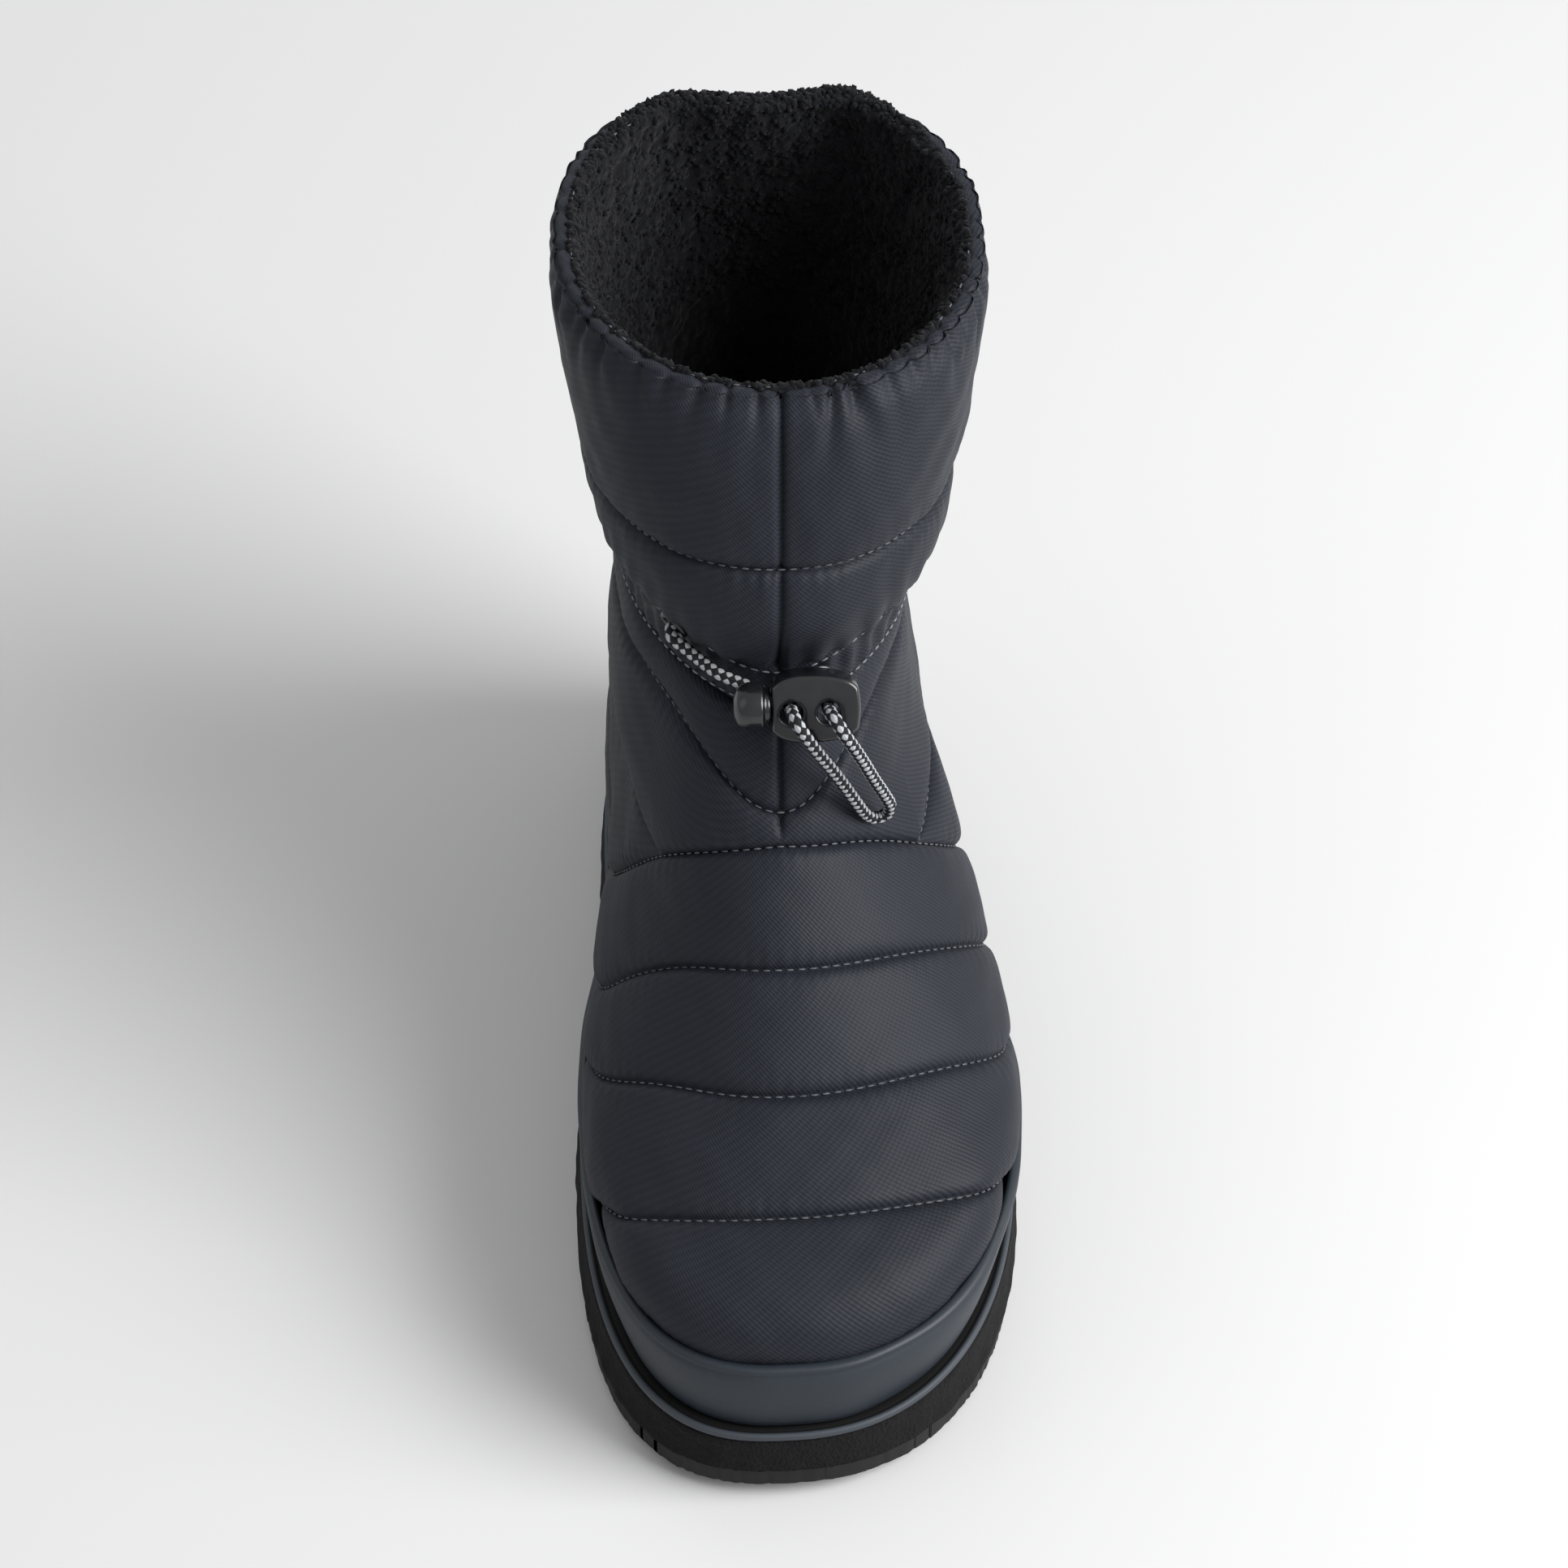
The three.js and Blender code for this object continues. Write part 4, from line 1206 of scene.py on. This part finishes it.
def slab(name, rings, across, lift=None):
    """Closed slab through rings of the same count, from its underside to its top."""
    build = bmesh.new()
    sides = [[build.verts.new(point) for point in to_metres(ring)] for ring in rings]
    for low, high in zip(sides[:-1], sides[1:]):
        for i in range(len(low)):
            build.faces.new((low[i - 1], low[i], high[i], high[i - 1]))
    lid(build, rings[-1], sides[-1], across, lift)
    lid(build, rings[0], sides[0], 2)
    bmesh.ops.recalc_face_normals(build, faces=build.faces)
    return smoothed(built(build, name))


ring_rounds = snapped_rounds(500)[:-1]


def on_base(place, out, rounds=ring_rounds):
    """Ring on the base form at one place and one distance outside it."""
    return surface(all_round(place, rounds), rounds, all_round(out, rounds))


def levelled(ring, height):
    """The same ring at one height."""
    flat = ring.copy()
    flat[:, 2] = height
    return flat


def rand_piece():
    """Rubber band round the foot, with a lip at its top edge."""
    inner = CLEARANCE
    outer = inner + RAND_THICKNESS
    profile = [(0, inner), (0, outer - 0.5), (0.03, outer), (0.15, outer + 0.25), (0.32, outer + 0.5),
               (0.5, outer + RAND_BULGE), (0.66, outer + 0.55), (0.8, outer + 0.35),
               (0.86, outer + 0.12), (0.885, outer - 0.25), (0.905, outer - 0.2),
               (0.93, outer + 0.02), (0.965, outer - 0.25), (0.99, outer - 0.9), (1.0, outer - 1.6),
               (1.0, inner), (0.5, inner)]
    grid = np.array([on_base(place, out) for place, out in profile])
    middle = all_round(0.5, ring_rounds)
    wave = 0.16 * soft_noise(base_point(middle, ring_rounds), 24, 61)
    grid[2:14] += base_normal(middle, ring_rounds) * wave[:, None]
    return closed_grid("rand_band", grid, True, run_uv(grid, look_up(GONE_ROUND, middle, ring_rounds)))


def welt_piece():
    """Thin ledge between the foam and the rand."""
    bottom = FOAM_TOP + CLEARANCE
    top = bottom + WELT_THICKNESS
    inner = on_base(0, -WALL)
    profile = [(bottom, 0.3), (bottom + 0.35, 0), (top - 0.5, 0), (top - 0.12, 0.25), (top, 0.7),
               (top, 1.2), (top - 0.45, 1.7), (top - 0.5, 2.2)]
    rings = [levelled(inner, bottom)]
    rings += [sole_ring(height, WELT_INSET + inset, ring_rounds) for height, inset in profile]
    rings.append(levelled(inner, top - 0.5))
    # The insets in the uv set where the welt's painted shade under the rand begins.
    uv = np.zeros((len(rings), len(ring_rounds), 2))
    uv[..., 0] = np.array([9.0, *(inset for _, inset in profile), 9.0])[:, None]
    return closed_grid("welt_ledge", np.array(rings), True, uv)


def foam_piece():
    """Foam midsole, a little rough, with a softened top edge."""
    def bottom(along):
        return rise_at(along) + TREAD_HEIGHT + CLEARANCE

    def level(share):
        return lambda along: bottom(along) + (FOAM_TOP - SIDE_BEVEL - bottom(along)) * share

    profile = [(bottom, 0.4)]
    for share in (0.03, 0.12, 0.24, 0.36, 0.48, 0.6, 0.72, 0.84, 0.94, 1.0):
        profile.append((level(share), FOAM_FLARE * share + 0.35 * math.sin(math.pi * share)))
    profile += [(FOAM_TOP - SIDE_BEVEL * 0.45, FOAM_FLARE + 0.25),
                (FOAM_TOP - SIDE_BEVEL * 0.12, FOAM_FLARE + 0.55),
                (FOAM_TOP, FOAM_FLARE + SIDE_BEVEL * 0.7)]
    rings = [sole_ring(height, inset, ring_rounds) for height, inset in profile]
    for ring in rings[1:-1]:
        away = np.stack([ring[:, 0], ring[:, 1] * 0.4], -1)
        away /= np.linalg.norm(away, axis=1, keepdims=True)
        ring[:, :2] += away * (0.12 * soft_noise(ring, 7, 71))[:, None]
    return slab("foam_midsole", rings, 10)


def insole_piece():
    """Fleece footbed."""
    bottom = FOAM_TOP + CLEARANCE
    top = bottom + INSOLE_THICKNESS
    edge = -WALL - INSOLE_GAP
    rings = [levelled(on_base(0, out, tuft_rounds), height)
             for out, height in ((edge, bottom), (edge, top - 1), (edge - 1, top))]
    return slab("fleece_footbed", rings, 70, lambda points: np.clip(fluff(points), -0.9, 1.2))


rand_band = rand_piece()
welt_ledge = welt_piece()
foam_midsole = foam_piece()
fleece_footbed = insole_piece()


GROOVE_START = HALF_BALL + GROOVE_MARGIN
GROOVE_PERIOD = GROOVE_ACROSS + GROOVE_SHORT
NARROWEST = 1.25
SIPE_DEPTH = 2.0
SIPE_OFFSET = 2.3


def groove_columns():
    """Places across the sole where the grooves' lines have points."""
    xs = []
    x = GROOVE_START
    while x > -GROOVE_START:
        turn = x - GROOVE_ACROSS
        xs += [*np.linspace(x, turn, 15)[:-1], *np.linspace(turn, x - GROOVE_PERIOD, 10)[:-1]]
        x -= GROOVE_PERIOD
    return np.array(xs)


def zigzag(xs):
    """Way along of one groove's centre line at places across the sole: slants and steps in turn."""
    turns, within = np.divmod(GROOVE_START - xs, GROOVE_PERIOD)
    return -GROOVE_ALONG * (turns + np.clip(within / GROOVE_ACROSS, 0, 1))


def groove_rows(xs):
    """Ways along of the tread's rows of points, groove by groove, and how deep each is cut."""
    within = (GROOVE_START - xs) % GROOVE_PERIOD
    slant = smooth((within + 0.9) / 1.6) * smooth((GROOVE_ACROSS - within + 0.9) / 1.6)
    slant = np.maximum(slant, smooth((within - GROOVE_PERIOD + 0.9) / 1.6))
    half_slant = GROOVE_WIDTH / 2 * math.hypot(GROOVE_ACROSS, GROOVE_ALONG) / GROOVE_ACROSS
    half = NARROWEST + (half_slant - NARROWEST) * slant
    long = slant * smooth((within - 1.2) / 0.8) * smooth((GROOVE_ACROSS - 1.2 - within) / 0.8)
    short = smooth((within - GROOVE_ACROSS - 2.2) / 0.6) * smooth((GROOVE_PERIOD - 2.4 - within) / 0.6)
    rows = []
    for k in range(int((SOLE_LENGTH + GROOVE_ALONG * 6) / GROOVE_PITCH) + 2):
        at, end = k * GROOVE_PITCH, (k + 1) * GROOVE_PITCH
        rows += [(at, GROOVE_DEPTH), (at + half - 0.55, GROOVE_DEPTH), (at + half - 0.05, 0.35),
                 (at + half + 0.45, 0)]
        for offset, mask in ((-SIPE_OFFSET, short), (0, long), (SIPE_OFFSET, short)):
            sipe = at + GROOVE_PITCH / 2 + offset
            rows += [(sipe - 0.42, 0), (sipe - 0.17, SIPE_DEPTH * mask),
                     (sipe + 0.17, SIPE_DEPTH * mask), (sipe + 0.42, 0)]
        rows += [(end - half - 0.45, 0), (end - half + 0.05, 0.35), (end - half + 0.55, GROOVE_DEPTH)]
    offsets, depths = (np.array([np.broadcast_to(value, xs.shape) for value in values])
                       for values in zip(*rows))
    return zigzag(xs) + np.maximum.accumulate(offsets, 0), depths


def tread_edge():
    """Outline of the tread, a little rough, and a tree to find its nearest point."""
    edge = sole_ring(0, TREAD_INSET + 0.25, snapped_rounds(1500)[:-1])[:, :2]
    rough = 0.13 * soft_noise(np.c_[edge, edge[:, :1]], 2.4, 91)
    edge = edge + rough[:, None] * (edge / np.linalg.norm(edge, axis=1, keepdims=True))
    tree = KDTree(len(edge))
    for index, point in enumerate(edge):
        tree.insert((*point, 0), index)
    tree.balance()
    return edge, tree


def tread_face(edge, tree):
    """Points and faces of the cut underside, trimmed to the outline, where the cuts run out."""
    xs = groove_columns()
    along, depths = groove_rows(xs)
    across = np.broadcast_to(xs, along.shape).ravel()
    along = along.ravel() - SOLE_LENGTH / 2
    half = len(edge) // 2
    lateral, medial = edge[:half + 1], np.concatenate([edge[:1], edge[:half - 1:-1]])
    high = np.interp(along, lateral[:, 1], lateral[:, 0], left=-999, right=-999)
    low = np.interp(along, medial[:, 1], medial[:, 0], left=999, right=999)
    inside = (across < high) & (across > low)
    faces = grid_faces(*depths.shape, False, False)[0]
    faces = faces[inside[faces].any(1)]
    used = np.unique(faces)
    flat = np.c_[across, along]
    outside = used[~inside[used]]
    flat[outside] = edge[[tree.find((*flat[index], 0))[1] for index in outside]]
    near = np.zeros(len(flat))
    near[used] = [tree.find((*flat[index], 0))[2] for index in used]
    depth = depths.ravel() * smooth((near - 0.3) / 1.6)
    rough = np.abs(0.05 * soft_noise(np.c_[flat, flat[:, :1]], 3, 92)) * (depth < 0.1)
    return np.c_[flat, rise_at(flat[:, 1] + SOLE_LENGTH / 2) + depth + rough], faces, used


def tread_piece():
    """Rubber outsole: zigzag ridges with thin sipes between wide grooves."""
    edge, tree = tread_edge()
    points, faces, used = tread_face(edge, tree)
    build = bmesh.new()
    verts = dict(zip(used.tolist(), [build.verts.new(point) for point in to_metres(points[used])]))
    for face in faces[:, ::-1].tolist():
        build.faces.new([verts[index] for index in face])
    bmesh.ops.remove_doubles(build, verts=build.verts, dist=0.02 * MM)
    bmesh.ops.dissolve_degenerate(build, edges=build.edges, dist=1e-7)
    rim = [e for e in build.edges if len(e.link_faces) == 1]
    grown = bmesh.ops.extrude_edge_only(build, edges=rim)["geom"]
    for vert in (part for part in grown if isinstance(part, bmesh.types.BMVert)):
        vert.co.z = (rise_at(vert.co.y / MM + SOLE_LENGTH / 2) + TREAD_HEIGHT) * MM
    bmesh.ops.holes_fill(build, edges=[part for part in grown if isinstance(part, bmesh.types.BMEdge)],
                         sides=0)
    bmesh.ops.triangulate(build, faces=[face for face in build.faces if len(face.verts) > 4])
    bmesh.ops.recalc_face_normals(build, faces=build.faces)
    mesh = built(build, "tread_outsole")
    spots = np.array([vert.co for vert in mesh.vertices]) / MM - SHIFT
    inward = [tree.find((x, y, 0))[2] for x, y, _ in spots.tolist()]
    add_uv(mesh, np.c_[inward, spots[:, 2]][[loop.vertex_index for loop in mesh.loops]])
    return smoothed(mesh, 40)


tread_outsole = tread_piece()


# Seats of the drawcord's hardware, with x across the boot, y up the shell and z outwards
def seat_on(place, round_at, out):
    """Matrix of a seat on the shell."""
    place, round_at = np.array([float(place)]), np.array([float(round_at)])
    outward = Vector(base_normal(place, round_at)[0])
    across = (Vector((1, 0, 0)) - outward * outward.x).normalized()
    upward = outward.cross(across)
    at = Vector(base_point(place, round_at)[0]) + outward * out
    seat = Matrix((across, upward, outward)).transposed().to_4x4()
    seat.translation = at
    return seat


LOCK_PLACE = 7.62
LOCK_ASIDE = 6.7
lock_seat = seat_on(LOCK_PLACE, 0, 0) @ Matrix.Translation((LOCK_ASIDE, 0, 0))
EYELET_SEATS = {"eyelet_left": seat_on(8.4, 0.92, EYELET_PROUD),
                "eyelet_right": seat_on(7.82, 0.027, EYELET_PROUD)}

# Cord routes in the seats' own frames
STRAND_LEFT_EYELET = [(0, 0.2, -0.2), (0.4, 0.4, 2), (2.5, 0.6, 3.5), (5.5, -0.1, 3),
                      (10.8, -1.2, 2.3)]
STRAND_LEFT_LOCK = [(-21.5, 6, 1.5), (-16.4, 3.9, 2.6), (-11.2, 1.8, 3.3), (-7, 0.1, 4.2),
                    (-4.9, -0.5, 6.1), (-4.6, -0.5, 11), (-4.6, -0.2, 15.8)]
STRAND_RIGHT_EYELET = [(0, 0, 0), (0, -0.2, 2), (1, -0.9, 3.4)]
STRAND_RIGHT_LOCK = [(3.7, 0.4, 4.3), (4.5, -0.3, 6), (4.5, -0.5, 11), (4.5, -0.2, 15.8)]
LOOP_LOCK = [(-4.6, -0.1, 16.7), (-4.4, -0.4, 19.5), (-3.6, -2, 21.6), (-1.8, -5.1, 20.9),
             (1.2, -10.1, 17.2), (4.9, -15.8, 11.6), (8.7, -22.2, 5.1), (12, -28.2, -1),
             (14.5, -32.4, -6), (17.2, -34.3, -9.2), (19.9, -33.4, -9.3), (20.6, -30.5, -6),
             (18.7, -25.9, -0.4), (15.9, -20.5, 6), (12.9, -14.3, 12.8), (10, -8.8, 18.6),
             (7.6, -4.7, 21.8), (5.8, -1.4, 22.2), (4.7, -0.3, 19.7), (4.5, -0.1, 16.7)]


def in_seat(points, seat):
    """Points of a seat's own frame in the boot's frame."""
    return [np.array(seat @ Vector(point)) for point in points]


CORD_STEP = 0.45
CORD_SIDES = 24


def smooth_route(points):
    """Evenly spaced points on one centripetal curve through the given ones, and its length."""
    ends = np.array([2 * points[0] - points[1], *points, 2 * points[-1] - points[-2]])
    fine = []
    for a, b, c, d in zip(ends, ends[1:], ends[2:], ends[3:]):
        t = np.cumsum([0.0, *(np.linalg.norm(q - p) ** 0.5 for p, q in ((a, b), (b, c), (c, d)))])
        for s in np.linspace(t[1], t[2], 24, endpoint=False):
            ab = a + (b - a) * (s - t[0]) / (t[1] - t[0])
            bc = b + (c - b) * (s - t[1]) / (t[2] - t[1])
            cd = c + (d - c) * (s - t[2]) / (t[3] - t[2])
            abc = ab + (bc - ab) * (s - t[0]) / (t[2] - t[0])
            bcd = bc + (cd - bc) * (s - t[1]) / (t[3] - t[1])
            fine.append(abc + (bcd - abc) * (s - t[1]) / (t[2] - t[1]))
    fine = np.array([*fine, points[-1]])
    gone = np.concatenate([[0], np.cumsum(np.linalg.norm(np.diff(fine, axis=0), axis=1))])
    at = np.linspace(0, gone[-1], round(gone[-1] / CORD_STEP) + 1)
    return np.stack([np.interp(at, gone, fine[:, k]) for k in range(3)], -1), gone[-1]


def cord_tube(name, points):
    """Round cord along a route, closed at both ends, with its running length in its uv."""
    path, length = smooth_route(points)
    tangent = np.gradient(path, axis=0)
    tangent /= np.linalg.norm(tangent, axis=1, keepdims=True)
    side = np.cross(tangent[0], [0, 0, 1.0])
    share = np.arange(CORD_SIDES) / CORD_SIDES
    turn = 2 * math.pi * share[:, None]
    rings, uv = [], []
    for point, ahead, gone in zip(path, tangent, np.linspace(0, length, len(path))):
        side = side - ahead * (side @ ahead)
        side /= np.linalg.norm(side)
        braid = (np.sin(math.pi * (BRAID_ROWS * share + gone / BRAID_PITCH * 2))
                 * np.sin(math.pi * (BRAID_ROWS * share - gone / BRAID_PITCH * 2)))
        radius = CORD_DIAMETER / 2 + (np.sqrt(np.abs(braid)) - 1) * BRAID_DEPTH
        ring = np.cos(turn) * side + np.sin(turn) * np.cross(ahead, side)
        rings.append(point + ring * radius[:, None])
        uv.append(np.c_[share, np.full(CORD_SIDES, gone)])
    rings, uv = np.array(rings).reshape(-1, 3), np.array(uv)
    faces, corner_i, corner_j = grid_faces(len(path), CORD_SIDES, False, True)
    corner_uv = np.concatenate([uv, uv[:, :1] + [1, 0]], 1)[corner_i, corner_j]
    corner_uv = np.concatenate([corner_uv.reshape(-1, 2), np.zeros((2 * CORD_SIDES, 2))])
    last = len(rings) - CORD_SIDES
    caps = [list(range(CORD_SIDES))[::-1], list(range(last, last + CORD_SIDES))]
    piece = mesh_piece(name, rings, faces.tolist() + caps, corner_uv)
    return piece, to_metres(path), length


strand_left, _, _ = cord_tube(
    "cord_run_left", in_seat(STRAND_LEFT_EYELET, EYELET_SEATS["eyelet_left"])
    + in_seat(STRAND_LEFT_LOCK, lock_seat))
strand_right, _, _ = cord_tube(
    "cord_run_right", in_seat(STRAND_RIGHT_EYELET, EYELET_SEATS["eyelet_right"])
    + in_seat(STRAND_RIGHT_LOCK, lock_seat))
loop_piece, loop_path, loop_length = cord_tube("drawcord_loop", in_seat(LOOP_LOCK, lock_seat))


CURVE_STEPS = 12
LOCK_BEVEL = 1.0


def bent(a, b, c, t):
    """Point of a curve from a to c that bends towards b."""
    return (1 - t) ** 2 * a + 2 * t * (1 - t) * b + t ** 2 * c


def lock_outline():
    """Outline of the cord lock's body: a rounded nose, straight sides and a narrower tail."""
    left, right = -LOCK_LENGTH * 0.42, LOCK_LENGTH * 0.58
    half, end = LOCK_HEIGHT / 2, LOCK_END / 2
    tail = right - LOCK_TAIL_CUT
    turns = [((left, -half * 0.62), (left + LOCK_SHOULDER, -half), (left + LOCK_NOSE, -half)),
             ((left + LOCK_NOSE, -half), (right - LOCK_TAIL, -half), (tail, -end + LOCK_TAIL_CUT)),
             ((tail, -end + LOCK_TAIL_CUT), (right, 0), (tail, end - LOCK_TAIL_CUT)),
             ((tail, end - LOCK_TAIL_CUT), (right - LOCK_TAIL, half), (left + LOCK_NOSE, half)),
             ((left + LOCK_NOSE, half), (left + LOCK_SHOULDER, half), (left, half * 0.62))]
    points = [bent(*np.array(turn), t) for turn in turns
              for t in np.linspace(0, 1, CURVE_STEPS, endpoint=False)]
    return [*points, turns[-1][2]]


def to_seat(mesh, seat, before):
    """Turns a mesh in millimetres by a first move and then to a seat's place, in metres."""
    mesh.transform(Matrix.Scale(MM, 4) @ Matrix.Translation(Vector(SHIFT)) @ seat @ before)


def lock_body_piece():
    """Moulded lock body with soft edges and two cord holes."""
    curve = bpy.data.curves.new("lock_outline", "CURVE")
    curve.dimensions = "2D"
    curve.fill_mode = "BOTH"
    loops = [lock_outline()]
    for side in (-1, 1):
        loops.append([(side * LOCK_HOLE_SPACING / 2 + LOCK_HOLE / 2 * math.cos(turn),
                       -LOCK_HOLE_DROP + LOCK_HOLE / 2 * math.sin(turn))
                      for turn in -np.linspace(0, 2 * math.pi, 28, endpoint=False)])
    for loop in loops:
        spline = curve.splines.new("POLY")
        spline.points.add(len(loop) - 1)
        for point, (x, y) in zip(spline.points, loop):
            point.co = (x, y, 0, 1)
        spline.use_cyclic_u = True
    curve.extrude = LOCK_DEPTH / 2 - LOCK_BEVEL
    curve.bevel_depth = LOCK_BEVEL
    curve.bevel_resolution = 3
    curve.offset = -LOCK_BEVEL
    holder = placed("lock_holder", curve)
    bpy.context.view_layer.update()
    mesh = bpy.data.meshes.new_from_object(holder.evaluated_get(bpy.context.evaluated_depsgraph_get()))
    mesh.name = "lock_body"
    bpy.data.objects.remove(holder)
    weld(mesh, 0.01, True)
    to_seat(mesh, lock_seat, Matrix.Translation((0, 0, LOCK_STAND_OFF + LOCK_DEPTH / 2)))
    return smoothed(mesh, 50)


SIDES_ROUND = 48


def turned(name, profile, seat, before, oval=1.0):
    """Round part from radius and height pairs, which start and end on its axis or form a ring."""
    turn = np.linspace(0, 2 * math.pi, SIDES_ROUND, endpoint=False)
    ring = np.stack([np.cos(turn) * oval, np.sin(turn)], -1)
    closed = bool(np.allclose(profile[0], profile[-1]))
    grid = np.stack([np.c_[ring * radius, np.full(SIDES_ROUND, height)]
                     for radius, height in (profile[:-1] if closed else profile)])
    faces, _, _ = grid_faces(len(grid), SIDES_ROUND, closed, True)
    mesh = bpy.data.meshes.new(name)
    mesh.from_pydata(grid.reshape(-1, 3).tolist(), [], faces.tolist())
    weld(mesh, 0.001, True)
    to_seat(mesh, seat, before)
    return smoothed(mesh, 40)


def rounded(points, radius):
    """Profile with its inner corners rounded."""
    points = [np.array(p, float) for p in points]
    out = [points[0]]
    for a, b, c in zip(points, points[1:], points[2:]):
        r = min(radius, 0.45 * np.linalg.norm(a - b), 0.45 * np.linalg.norm(c - b))
        start = b + (a - b) / np.linalg.norm(a - b) * r
        stop = b + (c - b) / np.linalg.norm(c - b) * r
        out += [bent(start, b, stop, t) for t in np.linspace(0, 1, 4)]
    return [*out, points[-1]]


def button_piece():
    """Domed plunger of the lock, with its neck."""
    radius = BUTTON_DIAMETER / 2
    start = LOCK_LENGTH * 0.42 + CLEARANCE
    profile = rounded([(0, 0), (radius * 0.78, 0), (radius * 0.78, BUTTON_NECK),
                       (radius, BUTTON_NECK + 0.3), (radius, BUTTON_LENGTH * 0.62),
                       (radius * 0.8, BUTTON_LENGTH * 0.88), (radius * 0.4, BUTTON_LENGTH),
                       (0, BUTTON_LENGTH)], 0.9)
    before = Matrix.Translation((-start, 0, LOCK_STAND_OFF + LOCK_DEPTH / 2)) @ Matrix.Rotation(
        -math.pi / 2, 4, "Y")
    return turned("lock_button", profile, lock_seat, before)


def eyelet_piece(name):
    """Pressed oval ring round a cord hole."""
    outer, inner = EYELET_OUTER / 2, EYELET_INNER / 2
    shoulder = EYELET_THICKNESS * 0.6
    profile = rounded([(inner, 0), (outer, 0), (outer, shoulder),
                       ((outer + inner) / 2, EYELET_THICKNESS), (inner, shoulder), (inner, 0)], 0.3)
    return turned(name + "_ring", profile, EYELET_SEATS[name], Matrix.Translation((0, 0, CLEARANCE)),
                  oval=EYELET_OVAL)


lock_body = lock_body_piece()
lock_button = button_piece()
eyelets = [eyelet_piece(name) for name in EYELET_SEATS]


# Finish, material slot and node of the pieces
DRESS = [
    (nylon, "shell_nylon", "upper", [shell_vamp, shell_quarter, drawcord_tunnel, shell_cuff]),
    (fleece, "fleece", "upper", [fleece_lining, fleece_curls, fleece_rim_curls]),
    (dark_thread, None, "upper", [stitches_vamp, stitches_shaft]),
    (light_thread, None, "upper", [stitches_tunnel]),
    (dark_thread, None, "upper", [stitches_rim]),
    (fleece, "fleece", "insole", [fleece_footbed]),
    (rand_rubber, "slate_rubber", "rand", [rand_band]),
    (welt_rubber, "slate_rubber", "welt", [welt_ledge]),
    (foam, "foam", "midsole", [foam_midsole]),
    (tread_rubber, "tread_rubber", "outsole", [tread_outsole]),
    (gloss, "gloss_plastic", "cord_lock_body", [lock_body]),
    (gloss, "gloss_plastic", "cord_lock_button", [lock_button]),
    (eyelet_plastic, "eyelet_plastic", "eyelet_left", eyelets[:1]),
    (eyelet_plastic, "eyelet_plastic", "eyelet_right", eyelets[1:]),
    (braid, "elastic_cord", "cord_strand_left", [strand_left]),
    (braid, "elastic_cord", "cord_strand_right", [strand_right]),
    (braid, "elastic_cord", "cord_loop", [loop_piece]),
]
for finish, slot, node, pieces in DRESS:
    for piece in pieces:
        if not piece.data.materials:
            piece.data.materials.append(finish)
        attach(piece, "root")
        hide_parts(node)

tuple(loop_path[0])
loop_length * MM
[tuple(point) for point in loop_path]


# Camera at the photograph's angle
CAMERA_AZIMUTH = -3.44
CAMERA_ELEVATION = 44.34
CAMERA_ROLL = 0.87
CAMERA_DISTANCE = 1.296
AIM = (SHIFT[0] * MM, 0.005, 0.090)
FOCAL_PIXELS = 4500.0
FRAME_PIXELS = 1400.0
SENSOR = 36
LENS_SHIFT = (0.0074, 0.0185)


def camera():
    """Camera on a sphere round its aim."""
    azimuth, elevation = math.radians(CAMERA_AZIMUTH), math.radians(CAMERA_ELEVATION)
    back = Vector((math.sin(azimuth) * math.cos(elevation), -math.cos(azimuth) * math.cos(elevation),
                   math.sin(elevation)))
    right = (-back).cross(Vector((0, 0, 1))).normalized()
    up = right.cross(-back)
    roll = math.radians(CAMERA_ROLL)
    rolled_right = right * math.cos(roll) + up * math.sin(roll)
    rolled_up = up * math.cos(roll) - right * math.sin(roll)
    data = bpy.data.cameras.new("camera")
    data.sensor_fit = "HORIZONTAL"
    data.sensor_width = SENSOR
    data.lens = SENSOR * FOCAL_PIXELS / FRAME_PIXELS
    data.shift_x, data.shift_y = LENS_SHIFT
    data.clip_end = 20
    seen = placed("camera", data)
    turn = Matrix((rolled_right, rolled_up, back)).transposed().to_4x4()
    turn.translation = Vector(AIM) + back * CAMERA_DISTANCE
    seen.matrix_world = turn
    bpy.context.scene.camera = seen


camera()
LIGHT_AIM = Vector((0, 0, 0.11))


def softbox(name, at, size, power):
    """Large soft light that faces the boot."""
    data = bpy.data.lights.new(name, "AREA")
    data.shape = "RECTANGLE"
    data.size, data.size_y = size
    data.energy = power
    light = placed(name, data)
    light.location = at
    light.rotation_euler = (LIGHT_AIM - Vector(at)).to_track_quat("-Z", "Y").to_euler()


softbox("key_light", (1.35, -0.55, 1.1), (1.3, 1.3), 56)
softbox("fill_light", (-1.2, -0.35, 0.9), (0.7, 0.9), 1)
softbox("back_light", (-0.3, 1.2, 1.0), (1.2, 0.5), 4)

world = bpy.data.worlds.new("studio")
world.use_nodes = True
sky = world.node_tree.nodes["Background"]
sky.inputs["Color"].default_value = (0.95, 0.95, 0.96, 1)
sky.inputs["Strength"].default_value = 0.6
bpy.context.scene.world = world

floor_mesh = bpy.data.meshes.new("floor")
floor_mesh.from_pydata([(-6, -6, 0), (6, -6, 0), (6, 6, 0), (-6, 6, 0)], [], [(0, 1, 2, 3)])
floor = placed("floor", floor_mesh)
paper = Finish("pale_floor", Roughness=0.9, Specular_IOR_Level=0.1)
paper.shader.inputs["Base Color"].default_value = rgb("cacaca")
floor_mesh.materials.append(paper.material)
bpy.context.scene.view_settings.view_transform = "Standard"
